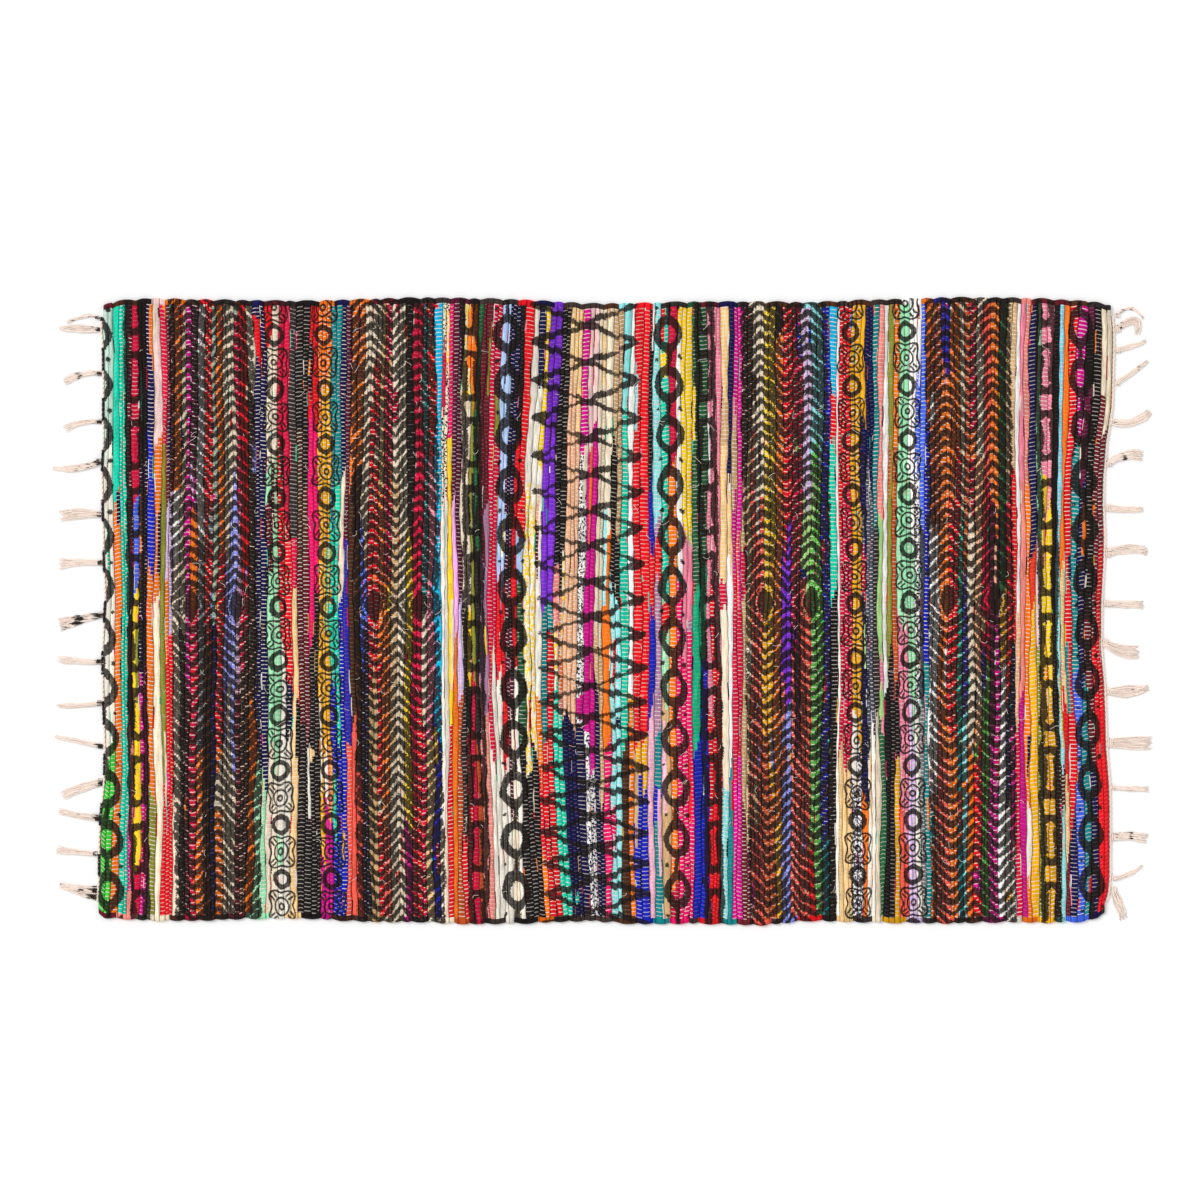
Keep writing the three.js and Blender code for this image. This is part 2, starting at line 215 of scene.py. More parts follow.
# Dyed scrap cloth, by plain colour names
RAG_COLOURS = {
    "ivory": "f6eedf", "cream": "f4e2c6", "white": "fdf9f5", "beige": "e2cfb2", "blush": "f6d0ca",
    "lightpink": "f6b4cc", "pink": "f4849f", "orchid": "efa9e6", "salmon": "f08a80", "coral": "f25a48",
    "scarlet": "e8101e", "vermilion": "ea3a18", "crimson": "d20f40", "hotpink": "ee1068",
    "magenta": "d60c8e", "plum": "581433", "maroon": "6a1a26", "mauve": "ac7c9c", "brown": "4c2a18",
    "umber": "40332f", "rust": "bc4c1e", "orange": "f87614", "mustard": "cc9210", "gold": "f2ae12",
    "yellow": "fcd220", "apricot": "f8cc8a", "peach": "f6b98e", "tan": "cda574", "olive": "8f9030",
    "grass": "35cc35", "leaf": "52a440", "lime": "6cd44a", "mint": "9fe8b4", "palemint": "d2efdf",
    "pistachio": "b5e08c", "sage": "8fa08c", "emerald": "12a878", "forest": "205c36", "teal": "0c868a",
    "turquoise": "14cfac", "aqua": "93e6e6", "lightcyan": "8fdcf2", "cyan": "10b4e0",
    "powder": "b4cdf4", "periwinkle": "8c92e8", "cornflower": "4166e4", "royal": "1522b8",
    "indigo": "2c269c", "navy": "16134a", "slate": "484c60", "pewter": "727376", "violet": "7c2ecc",
    "lilac": "dabae8", "charcoal": "2e2827", "black": "1a1415"}

# The stripes from left to right: how many of the rows each takes, and the rags that it is woven from,
# named from the far selvedge to the near one. a+b is a cloth printed with small flecks of b.
RAG_STRIPES = """
2 palemint ivory ivory grass; 1.5 turquoise orange orange; 1.5 turquoise; 1 maroon plum salmon;
1.5 crimson cornflower yellow crimson; 1.5 black navy magenta; 1.5 navy royal orange olive;
1.5 blush orange cream; 1 crimson olive scarlet; 1.5 maroon lilac scarlet; 1.5 orange white cream;
1 navy navy charcoal; 1 magenta maroon; 1.5 plum orange crimson; 1.5 white pewter orange;
1.5 maroon brown; 1 sage navy; 1.5 orange scarlet orange; 2.5 navy indigo navy; 1 crimson mauve maroon;
1.5 scarlet crimson brown; 1.5 cream brown orange; 2.5 navy navy mint; 2.5 cream mint cream;
2.5 crimson scarlet ivory; 1.5 charcoal crimson apricot; 2.5 black brown maroon black;
2 scarlet hotpink black; 2.5 orange gold gold magenta; 2 teal turquoise royal; 1 navy cream royal;
1 plum indigo coral; 2.5 orange brown coral; 1.5 navy cornflower navy; 2 slate scarlet charcoal;
1 royal orange scarlet; 1.5 crimson orange coral; 1.5 cream tan navy; 1.5 cream navy;
1.5 black yellow magenta; 2 crimson crimson scarlet; 1 teal cream crimson; 1.5 scarlet pink royal;
1.5 cyan cyan royal; 1.5 cream+black ivory cream; 1 hotpink yellow scarlet; 1 plum orchid orange;
1 plum lilac rust; 2 cream+yellow cream charcoal scarlet; 1 orange olive crimson;
1 forest charcoal rust; 2 maroon mauve salmon; 2 crimson crimson ivory; 2 powder scarlet ivory;
1.5 navy plum cream; 1 black scarlet ivory; 1.5 scarlet forest black; 2.5 ivory ivory+yellow black;
1 yellow ivory orange; 2.5 violet violet teal scarlet; 2 black salmon turquoise;
2.5 apricot peach navy; 1.5 magenta white+charcoal navy; 2 blush magenta white+navy;
1.5 beige tan navy; 1.5 cream orange hotpink; 2 tan black aqua; 1.5 aqua turquoise brown;
1 white white gold orange; 3 scarlet scarlet gold royal; 1 black royal lightpink; 1.5 aqua mauve teal;
1.5 turquoise mint tan; 1.5 crimson orange crimson; 1 white teal hotpink; 2 yellow pink hotpink;
3 forest emerald royal; 2.5 pink scarlet scarlet; 1.5 apricot cream aqua; 1 navy white teal;
2 magenta crimson magenta; 2 brown charcoal maroon; 2.5 cream coral plum; 2.5 yellow yellow gold rust;
1.5 charcoal orange gold; 2 maroon violet periwinkle; 2 crimson plum coral; 2 lilac pistachio coral;
2.5 aqua lime leaf scarlet; 1.5 royal royal teal; 1.5 cyan turquoise black; 0.5 white ivory;
2.5 scarlet crimson apricot; 2 gold gold slate+white; 1 gold navy orange; 1.5 navy slate ivory;
1 teal charcoal cream; 1 salmon pistachio forest; 1 white black; 1 olive black; 1 orange rust mustard;
2 mint mint pink coral; 1.5 white mint lilac; 1 white white+charcoal ivory; 1 cornflower slate pewter;
1 orange royal teal; 2 magenta white rust; 2 indigo orange coral; 2 orange scarlet orange;
1 navy turquoise teal; 1 magenta indigo aqua; 1.5 crimson navy orange; 1.5 cream peach scarlet;
1.5 coral crimson leaf; 2 brown plum magenta; 1.5 forest mustard white; 2 tan scarlet navy ivory;
1 white peach crimson; 1 pink salmon magenta; 1 salmon orange orange; 1.5 navy vermilion gold;
1 mint blush olive; 2.5 pink yellow yellow gold; 1 black brown; 1 lightcyan lightcyan aqua;
1 orange apricot maroon; 1.5 scarlet scarlet navy; 1.5 magenta teal cornflower;
1.5 plum navy teal; 1.5 black maroon navy; 2 cream maroon scarlet scarlet
"""

# Laying the wefts. A thick rag fills a narrow stripe in one pass, thin ones take a pass for each row.
# Which are thick, where one scrap gives way to the next and which odd scraps are slipped in are drawn
# by chance, as they fall in a real rug.
THICK_RAG, THIN_RAG = 1.6, 1.0
THICK_SHARE = 0.6
laying = np.random.default_rng(11)
stripes = [stripe.split() for stripe in RAG_STRIPES.split(";")]
weft_stripe, weft_edges = [], [0.0]
for number, (width, *_) in enumerate(stripes):
    rag_width = THICK_RAG if laying.random() < THICK_SHARE else THIN_RAG
    passes = math.ceil(float(width) / rag_width)
    for _ in range(passes):
        weft_stripe.append(number)
        weft_edges.append(weft_edges[-1] + float(width) / passes)
wefts = len(weft_stripe)
weft_edges = np.array(weft_edges) * ROWS / weft_edges[-1]
weft_widths = np.diff(weft_edges)

# Section of a weft: shares of its width, and how high each stands between valley and crest
FOLD_PLACES = np.array([0, 0.18, 0.5, 0.82])
FOLD_HEIGHTS = np.array([0, 0.78, 1, 0.78])
FOLDS = len(FOLD_PLACES)
CREST_FOLD = 2
STEPS_PER_BEAD = 3
FIELD_STEPS = 450
ROUNDING_STEPS = 5
steps = FIELD_STEPS + 2 * ROUNDING_STEPS

lines = np.arange(wefts * FOLDS + 1)
this_weft = np.minimum(lines // FOLDS, wefts - 1)
line_row = np.append((weft_edges[:-1, None] + weft_widths[:, None] * FOLD_PLACES).ravel(), ROWS)
line_fold = FOLD_HEIGHTS[lines % FOLDS]
along = line_row / ROWS
near_x = row_x(along, 0.0)
far_x = row_x(along, 1.0)
near_y = read(SELVEDGES, near_x, 1) - turn_bulge(line_row)
far_y = read(SELVEDGES, far_x, 2) + turn_bulge(line_row + FAR_TURN_SHIFT)

# Steps across the rug: a quarter round at either selvedge and even steps between the two
rounding = np.linspace(0, np.pi / 2, ROUNDING_STEPS + 1)
step_angle = np.concatenate([rounding[:-1], np.full(FIELD_STEPS + 1, np.pi / 2), rounding[-2::-1]])
step_rise = np.sin(step_angle)
step_inset = SELVEDGE_ROUNDING * (1 - np.cos(step_angle))
step_share = np.pad(np.linspace(0, 1, FIELD_STEPS + 1), ROUNDING_STEPS, "edge")
near_round = np.arange(steps + 1) < ROUNDING_STEPS
far_round = np.arange(steps + 1) > steps - ROUNDING_STEPS

top_x = row_x(along[:, None], step_share[None, :])
field_y = ((near_y[:, None] + SELVEDGE_ROUNDING) * (1 - step_share)
           + (far_y[:, None] - SELVEDGE_ROUNDING) * step_share)
top_y = np.where(near_round, near_y[:, None] + step_inset, field_y)
top_y = np.where(far_round, far_y[:, None] - step_inset, top_y)

# Beating leaves the wefts uneven: the line between two of them drifts along the rug, bundles of them
# drift together, and the rag in a weft is lumpy where it is folded or twisted
LINE_DRIFT, DRIFT_ROOM = 1.9, (0.4, 1.4)
BUNDLE_DRIFT = 1.875
EDGE_WOBBLE = 0.45
RAG_LUMPS = 0.85
SETTLED_WEFTS = 4
LONG_LUMPS, SHORT_LUMPS = (0.6, 6.5), (14, 34)
# Waves in the cloth: the size of each, its turn from one weft or row to the next, and its turn across
BUNDLE_WAVES = ((1.0, 0.17, 5.5), (0.6, 2.1 * 0.17, -11))
SWELLS = ((1.0, 2.4, 0.0), (0.7, 0.9, 3 * np.pi))


def waves(table, place):
    """Sum of a table's waves at places along the rug, for every step across it."""
    return sum(size * np.sin(turn * place[:, None] + across * step_share) for size, turn, across in table)


beating = np.random.default_rng(5)
lump_waves = beating.uniform(*LONG_LUMPS, (3, wefts + 1))
lump_waves[2] = beating.uniform(*SHORT_LUMPS, wefts + 1)
lump_phases = beating.uniform(0, 2 * np.pi, (3, wefts + 1))
unevenness = [np.sin(2 * np.pi * np.outer(counts, step_share) + phases[:, None])
              for counts, phases in zip(lump_waves, lump_phases)]
edge_number = np.arange(wefts + 1)
settled = np.clip(np.minimum(edge_number, wefts - edge_number) / SETTLED_WEFTS, 0, 1)[:, None]
room = np.minimum(np.append(weft_widths[0], weft_widths), np.append(weft_widths, weft_widths[-1]))
drift = LINE_DRIFT / 2 * np.clip(room, *DRIFT_ROOM)[:, None] * (unevenness[0] + unevenness[1])
drift = settled * (drift + EDGE_WOBBLE * unevenness[2] + BUNDLE_DRIFT * waves(BUNDLE_WAVES, edge_number))
next_edge = np.minimum(lines // FOLDS + 1, wefts)
fold_share = FOLD_PLACES[lines % FOLDS][:, None]
top_x += drift[lines // FOLDS] * (1 - fold_share) + drift[next_edge] * fold_share

# Height of the rag: a wide weft stands higher, and each one is dented where a warp end crosses it
RISING_WIDTHS = (0.5, 1.3)
BEAD_DENT, BEAD_BLUNTNESS = 1.0, 0.6
bead_count = (np.arange(steps + 1) - ROUNDING_STEPS) / STEPS_PER_BEAD
weft_shift = 0.5 * (np.arange(wefts) % 2)
bead_place = np.mod(bead_count[None, :] + weft_shift[this_weft][:, None], 1)
crest_rise = (ROW_CREST - ROW_VALLEY) * np.clip(weft_widths, *RISING_WIDTHS) ** 0.5
row_height = ROW_VALLEY + (crest_rise[this_weft] * line_fold)[:, None]
row_height = row_height + RAG_UNEVENNESS * waves(SWELLS, line_row)
row_height += RAG_LUMPS * line_fold[:, None] * (unevenness[1] + unevenness[2])[this_weft] / 2
row_height -= BEAD_DENT * line_fold[:, None] * (1 - np.sin(np.pi * bead_place) ** BEAD_BLUNTNESS)

# Near a selvedge each turned bundle of rag is one round lobe
TURN_DEPTH, TURN_BLEND = 9.0, 5.0
TURN_DROP, TURN_RISE, TURN_BLUNTNESS = 1.4, 1.6, 0.4
for turn_row, distance in ((line_row, top_y - near_y[:, None]),
                           (line_row + FAR_TURN_SHIFT, far_y[:, None] - top_y)):
    _, share, _ = rag_turn(turn_row)
    roundness = np.sin(np.pi * share) ** TURN_BLUNTNESS
    lobe = ROW_VALLEY - TURN_DROP + (ROW_CREST - ROW_VALLEY + TURN_RISE) * roundness
    weight = np.clip((TURN_DEPTH - distance) / TURN_BLEND, 0, 1)
    row_height = row_height * (1 - weight) + lobe[:, None] * weight

top_z = SELVEDGE_LIP + (row_height - SELVEDGE_LIP) * step_rise
top_z[0] = top_z[-1] = END_LIP
cloth_top = np.stack([top_x + GROUP_SHIFT[0], top_y + GROUP_SHIFT[1], top_z], -1)

# The underside has every second line of the top and every fourth step
UNDER_LINES, UNDER_STEPS = 2, 4
UNDERSIDE_VALLEY = 1.2
cloth_under = cloth_top[::UNDER_LINES, ::UNDER_STEPS].copy()
cloth_under[:, 0, 1] += SELVEDGE_UNDERCUT
cloth_under[:, -1, 1] -= SELVEDGE_UNDERCUT
cloth_under[:, :, 2] = UNDERSIDE_VALLEY * (1 - line_fold[::UNDER_LINES, None])
cloth_under[[0, -1], :, 2] = 0

# Each strip of faces between two lines of the top, and each step across it, gets one rag. A scrap's end
# is cut or torn at a slant, and each pass of a stripe changes rag near the same place.
JOIN_SPREAD, JOIN_STAGGER, JOIN_SLANT = 0.3, 0.05, 0.02
SHADE_SPREAD, LOBE_SHADE_SPREAD = 0.09, 0.12
# How well the warp ticks show on a scrap, and how well it takes the print ink, each with its share
TICK_STRENGTHS, TICK_SHARES = (0.1, 0.6, 1.0), (0.28, 0.24, 0.48)
INK_TAKES, TAKE_SHARES = (0.4, 0.8, 1.0), (0.27, 0.33, 0.4)
# Odd scraps, as many to a weft and the longest in steps. One is lent by a weft nearby, and fills a weft
# or half of it. Slivers show at a weft's two flanks.
ODD_SCRAPS, HERRINGBONE_SCRAPS = (1.3, steps // 5), (1.7, steps // 9)
SHORTEST_SCRAP = steps // 50
ODD_SCRAP_REACH = 5
SCRAP_FOLDS = ((0, 4), (0, 2), (2, 4))
LEAST_TORN, TORN_PART = 2, 4
SLIVERS_PER_WEFT = 6.5
SLIVER_LENGTHS = (steps // 90, steps // 24)
FLANKS = (0, 3)
SLIVER_RAGS = ("ivory", "scarlet", "gold", "turquoise", "white", "hotpink", "navy", "orange", "black",
               "cream", "crimson", "black", "pink", "maroon")
# Under the close herringbone print many scraps are light ones that the ink makes look dark
HERRINGBONE_ROWS = ((14, 31.5), (51.5, 69), (131.5, 149.5), (169.5, 187))
LIGHTER_SHARE = 0.5
LIGHTER_RAGS = {
    "navy": "beige", "indigo": "periwinkle", "charcoal": "tan", "black": "blush", "brown": "orange",
    "maroon": "scarlet", "plum": "coral", "forest": "pistachio", "slate": "cream", "violet": "pink",
    "royal": "apricot", "magenta": "rust", "olive": "apricot"}
rag_names = sorted(RAG_COLOURS)
rag_table = np.array([linear(RAG_COLOURS[name]) for name in rag_names])


def under_herringbone(row):
    return any(low < row < high for low, high in HERRINGBONE_ROWS)


def rag_numbers(rag):
    """Number of a scrap's cloth and of its flecks, which is the same one if it has none."""
    plain, _, flecks = rag.partition("+")
    return rag_names.index(plain), rag_names.index(flecks or plain)


stripe_ends = np.cumsum([float(width) for width, *_ in stripes])
for stripe, stripe_end in zip(stripes, stripe_ends):
    if under_herringbone(stripe_end - float(stripe[0]) / 2):
        for place, rag in enumerate(stripe):
            if rag in LIGHTER_RAGS and laying.random() < LIGHTER_SHARE:
                stripe[place] = LIGHTER_RAGS[rag]

from_far = 1 - (np.arange(steps) + 0.5) / steps
rag_main, rag_specks = np.zeros((2, wefts * FOLDS, steps), int)
scrap_shade, tick_strength, ink_take = np.ones((3, wefts * FOLDS, steps))
laid = [np.array([rag_numbers(rag) for rag in rags]) for _, *rags in stripes]
stripe_joins = []
for rags in laid:
    joins = np.arange(1, len(rags)) / len(rags)
    stripe_joins.append(joins + laying.normal(0, JOIN_SPREAD / len(rags), len(joins)))
stripe_ticks = [laying.choice(TICK_STRENGTHS, len(rags), p=TICK_SHARES) for rags in laid]
stripe_takes = [laying.choice(INK_TAKES, len(rags), p=TAKE_SHARES) for rags in laid]
for weft, number in enumerate(weft_stripe):
    joins = np.sort(stripe_joins[number] + laying.normal(0, JOIN_STAGGER, len(stripe_joins[number])))
    shades = laying.normal(1, SHADE_SPREAD, len(laid[number]))
    slant = laying.uniform(-JOIN_SLANT, JOIN_SLANT)
    for fold in range(FOLDS):
        which = (from_far[:, None] > joins + slant * (fold - (FOLDS - 1) / 2)).sum(axis=1)
        strip = weft * FOLDS + fold
        rag_main[strip], rag_specks[strip] = laid[number][which].T
        scrap_shade[strip] = shades[which]
        tick_strength[strip] = stripe_ticks[number][which]
        ink_take[strip] = stripe_takes[number][which]

for weft in range(wefts):
    scraps_per_weft, longest = HERRINGBONE_SCRAPS if under_herringbone(weft_edges[weft]) else ODD_SCRAPS
    for _ in range(laying.poisson(scraps_per_weft)):
        start = laying.integers(0, steps)
        end = start + laying.integers(SHORTEST_SCRAP, longest)
        lender = int(np.clip(weft + laying.integers(-ODD_SCRAP_REACH, ODD_SCRAP_REACH + 1), 0, wefts - 1))
        for fold in range(*SCRAP_FOLDS[laying.integers(0, len(SCRAP_FOLDS))]):
            torn_start, torn_end = laying.integers(0, LEAST_TORN + (end - start) // TORN_PART, 2)
            scrap = slice(start + torn_start, end - torn_end)
            for choice in (rag_main, rag_specks, tick_strength, ink_take):
                choice[weft * FOLDS + fold, scrap] = choice[lender * FOLDS + CREST_FOLD, start]
    for _ in range(laying.poisson(SLIVERS_PER_WEFT)):
        start = laying.integers(0, steps)
        end = start + laying.integers(*SLIVER_LENGTHS)
        flank = weft * FOLDS + FLANKS[laying.integers(0, len(FLANKS))]
        name = SLIVER_RAGS[laying.integers(0, len(SLIVER_RAGS))]
        rag_main[flank, start:end] = rag_specks[flank, start:end] = rag_names.index(name)

# Each lobe of a selvedge is one turned rag, and many of them are dark
TURN_STEPS = 6
FAR_TURNS_DARK, NEAR_TURNS_DARK = 0.5, 0.28
DARK_RAGS = ("umber", "charcoal", "maroon", "brown", "charcoal", "umber", "brown")
strip_row = (line_row[:-1] + line_row[1:]) / 2
for side, shift, share_dark in ((slice(0, TURN_STEPS), 0, NEAR_TURNS_DARK),
                                (slice(steps - TURN_STEPS, steps), FAR_TURN_SHIFT, FAR_TURNS_DARK)):
    middle_row = np.clip(rag_turn(strip_row + shift)[2] - shift, 0, ROWS - 0.5)
    turned = np.searchsorted(weft_edges, middle_row, side="right") - 1
    dark = (laying.random(wefts) < share_dark)[turned][:, None]
    dark_rag = laying.choice([rag_names.index(name) for name in DARK_RAGS], wefts)[turned][:, None]
    for choice in (rag_main, rag_specks):
        choice[:, side] = np.where(dark, dark_rag, choice[turned * FOLDS + CREST_FOLD][:, side])
    scrap_shade[:, side] = laying.normal(1, LOBE_SHADE_SPREAD, wefts)[turned][:, None]

# Overprint: a black block print in columns, mirrored about the middle column of zigzags. Places and
# sizes are in millimetres from the middle of the print, out along the rug and up across it.
PRINT_MIDDLE = (-21.8, 9.4)
PRINT_LEANS = np.array([[-705, 8.7], [-513, 11.6], [-120, 14.5], [110, 15.4], [680, 9.0], [690, 17.3]])
PRINT_LENGTH = 865.0
PRINT_RISES = np.array([[-716, -1.5], [-117, 0], [116, 0], [719, 10]])
out = top_x - PRINT_MIDDLE[0]
up = top_y - PRINT_MIDDLE[1]
out = out + read(PRINT_LEANS, out, 1) * up / PRINT_LENGTH
up = up - read(PRINT_RISES, out, 1)

# The cloth gives under the block: the lines ripple, and are thicker or thinner, by about a millimetre
RIPPLES, RIPPLE = 6, 0.55
SHORT_RIPPLE, LONG_RIPPLE = 22, 75
blocking = np.random.default_rng(17)
ripple_out, ripple_up, stroke_weight = np.zeros((3, *out.shape))
for ripple in (ripple_out, ripple_up, stroke_weight):
    for _ in range(RIPPLES):
        direction, wave, phase = blocking.uniform((0, SHORT_RIPPLE, 0), (np.pi, LONG_RIPPLE, 2 * np.pi))
        course = out * np.cos(direction) + up * np.sin(direction)
        ripple += RIPPLE * np.sin(2 * np.pi * course / wave + phase)
out = out + ripple_out
even_up = up + ripple_up

# The block also gives way over each weft, so the print steps a little from one to the next
PRINT_STEP = 1.1
UNPRINTED = -50.0
up = even_up + laying.normal(0, PRINT_STEP, wefts)[this_weft][:, None]
ink = np.full(out.shape, UNPRINTED)


def oval(x, y, half_width, half_height):
    """Depth inside an oval, in millimetres, and minus the distance outside it."""
    size = np.sqrt(half_width * half_height)
    return (1 - np.hypot(x / half_width, y / half_height)) * size


def repeat(value, first, pitch, count):
    """Distance from the nearest of several places, and which of them it is."""
    which = np.clip(np.round((first - value) / pitch), 0, count - 1)
    return value - (first - which * pitch), which


# Each column of rings: its place, the width of its rings against the widest, and its sway at the near end
RING_COLUMNS = ((-715, 1.0, 8.5), (-117, 0.97, 0.0), (116.5, 0.95, 0.0), (717, 0.86, 0.0))
SWAY_REACH = 400.0
RING_FIRST, RING_PITCH, RING_COUNT = 394.0, 73.5, 12
RING_HALF_WIDTH, RING_HALF_HEIGHT, RING_BLUNTNESS = 21.0, 28.4, 0.7
RING_OPENING = (10.9, 14.4)
LINK_HALF_WIDTH = 3.6
LINK_DOT_OUT, LINK_DOT_RADIUS = 16.0, 2.9
for column, ring_width, sway in RING_COLUMNS:
    x = np.abs(out - column - sway * np.clip(-up / SWAY_REACH, 0, 1)) / ring_width
    y, _ = repeat(up, RING_FIRST, RING_PITCH, RING_COUNT)
    bulge = np.clip(1 - (y / RING_HALF_HEIGHT) ** 2, 0, 1) ** RING_BLUNTNESS
    chain = LINK_HALF_WIDTH + (RING_HALF_WIDTH - LINK_HALF_WIDTH) * bulge - x
    chain = np.minimum(chain, -oval(x, y, *RING_OPENING))
    dots = LINK_DOT_RADIUS - np.hypot(x - LINK_DOT_OUT, RING_PITCH / 2 - np.abs(y))
    ink = np.maximum(ink, np.maximum(chain, dots))

# Each herringbone column: its middle and its two spines
HERRINGBONES = ((-549, -583, -517), (-284, -317.5, -251), (284, 251, 317.5), (550, 517, 585))
HERRINGBONE_HALF_WIDTH = 62.5
HERRINGBONE_PITCH = 16.1
HERRINGBONE_SLOPE = 1.1
LINE_HALF_WIDTH = 1.15
SPINE_BLUNTNESS = 4.0
SPINE_WIDENING, SPINE_REACH = 1.7, 12.0
LENS = (12.4, 24.5)
LENS_POINT = 1.35
LENS_RIM = 2.7
for middle, left_spine, right_spine in HERRINGBONES:
    x = out - middle
    spine = np.minimum(np.abs(out - left_spine), np.abs(out - right_spine))
    from_any = np.minimum(spine, np.abs(x))
    phase = (np.abs(up) + HERRINGBONE_SLOPE * np.hypot(spine, SPINE_BLUNTNESS)) / HERRINGBONE_PITCH
    from_line = np.abs(np.mod(phase + 0.5, 1) - 0.5) * HERRINGBONE_PITCH / math.hypot(1, HERRINGBONE_SLOPE)
    half_line = LINE_HALF_WIDTH + SPINE_WIDENING * np.clip(1 - from_any / SPINE_REACH, 0, 1)
    bones = from_line - half_line
    for place in (left_spine, right_spine):
        shares = (np.abs(out - place) / LENS[0]) ** LENS_POINT + (np.abs(up) / LENS[1]) ** LENS_POINT
        whole = (1 - shares ** (1 / LENS_POINT)) * LENS[0]
        bones = np.where(whole > -LENS_RIM, np.maximum(whole, -LENS_RIM - whole), bones)
    ink = np.maximum(ink, np.minimum(bones, HERRINGBONE_HALF_WIDTH - np.abs(x)))

DASH_COLUMNS = (-662, -172, 170, 662)
DASH_HALF_WIDTH = 14.5
DASH_FIRST, DASH_PITCH, DASH_COUNT = 382.0, 97.9, 9
BLOCK = (8.7, 11.6)
ARROW_HALF_LENGTH, ARROW_SHAFT, ARROW_HEAD, ARROW_HEAD_LENGTH = 28.6, 4.4, 8.2, 8.0
PAST_ARROW = -5.0
for column in DASH_COLUMNS:
    x = np.abs(out - column)
    y, _ = repeat(up, DASH_FIRST, DASH_PITCH, DASH_COUNT)
    block = np.minimum(BLOCK[0] - x, BLOCK[1] - np.abs(y))
    y = DASH_PITCH / 2 - np.abs(y)
    head_share = np.clip((ARROW_HALF_LENGTH - np.abs(y)) / ARROW_HEAD_LENGTH, 0, 1)
    head = ARROW_HEAD * head_share * (head_share < 1) + ARROW_SHAFT * (head_share >= 1)
    arrow = np.where(np.abs(y) < ARROW_HALF_LENGTH, head - x, PAST_ARROW)
    ink = np.maximum(ink, np.minimum(DASH_HALF_WIDTH - x, -np.maximum(block, arrow)))

ORNATE_COLUMNS = (-457, -384.5, 381, 461)
ORNATE_FIRST, ORNATE_PITCH, ORNATE_COUNT = 392.6, 79.0, 11
ORNATE_REACH = 26.0
FLOWER_TALLNESS = 1.17
LOBE_WAIST, LOBE_SWELL = 15.8, 28.0
RING_MIDDLE = (10.4, 11.7)
SCALLOPS, SCALLOP_DEPTH = 12, 1.1
STEM_REACH, STEM_HALF_WIDTH = 2.6, 2.4
FAR_AWAY = 99.0


def ornament(corner_out, corner_up):
    """Fields of the flower and ring in an ornate column, at the four corners of each face.

    The material draws the fine strokes from them: how far from the flower's middle, how far outside its
    lobes, how far across a ring's stroke, and the place across and along the nearest lobe.
    """
    column = np.array(ORNATE_COLUMNS)[np.abs(corner_out.mean(1)[:, None] - ORNATE_COLUMNS).argmin(1)]
    _, nearest = repeat(corner_up.mean(1), ORNATE_FIRST + ORNATE_PITCH / 2, ORNATE_PITCH, ORNATE_COUNT + 1)
    x = corner_out - column[:, None]
    y = corner_up - (ORNATE_FIRST + ORNATE_PITCH / 2 - nearest * ORNATE_PITCH)[:, None]
    outside = (np.abs(x) > ORNATE_REACH) | (np.abs(y) > ORNATE_PITCH)
    flower_y = y / FLOWER_TALLNESS
    radius = np.hypot(x, flower_y)
    lobes = radius - LOBE_WAIST - LOBE_SWELL * (x * flower_y / np.maximum(radius, 1) ** 2) ** 2
    ring_y = ORNATE_PITCH / 2 - np.abs(y)
    ring = (np.hypot(x / RING_MIDDLE[0], ring_y / RING_MIDDLE[1]) - 1) * np.mean(RING_MIDDLE)
    scallops = SCALLOP_DEPTH * np.abs(np.sin(SCALLOPS / 2 * np.arctan2(ring_y, np.abs(x))))
    stem = STEM_REACH * np.exp(-(x / STEM_HALF_WIDTH) ** 2)
    ring = np.where(ring > 0, ring - np.maximum(scallops, stem), ring)
    across_lobe = (np.abs(x) - np.abs(flower_y)) / math.sqrt(2)
    along_lobe = (np.abs(x) + np.abs(flower_y)) / math.sqrt(2)
    fields = np.stack([radius, lobes, ring]), np.stack([across_lobe, along_lobe, 0 * ring])
    return [np.where(outside, FAR_AWAY, field).transpose(1, 2, 0) for field in fields]


ZIGZAG_LEFT, ZIGZAG_RIGHT, ZIGZAG_MARGIN = -79.0, 73.5, 10.0
ZIGZAG_TOP = 436.0
ZIGZAG_HALF_STROKE = 4.3
ZIGZAG_UNEVENNESS = 1.2
ZIGZAG_TURNS = 18
ZIGZAG_STEP_TOP, ZIGZAG_STEP_FALL = 56.0, 0.7
turn_falls = ZIGZAG_STEP_TOP - ZIGZAG_STEP_FALL * np.arange(ZIGZAG_TURNS)
turn_height = ZIGZAG_TOP - np.cumsum([0, *turn_falls])
zigzag_up = up + laying.normal(0, ZIGZAG_UNEVENNESS, wefts)[this_weft][:, None]
for first_side in (0, 1):
    for k in range(ZIGZAG_TURNS):
        start, end = np.roll((ZIGZAG_LEFT, ZIGZAG_RIGHT), k + first_side)
        run, fall = end - start, turn_height[k + 1] - turn_height[k]
        share = ((out - start) * run + (zigzag_up - turn_height[k]) * fall) / (run * run + fall * fall)
        share = np.clip(share, 0, 1)
        away = np.hypot(out - start - share * run, zigzag_up - turn_height[k] - share * fall)
        ink = np.maximum(ink, ZIGZAG_HALF_STROKE - away)

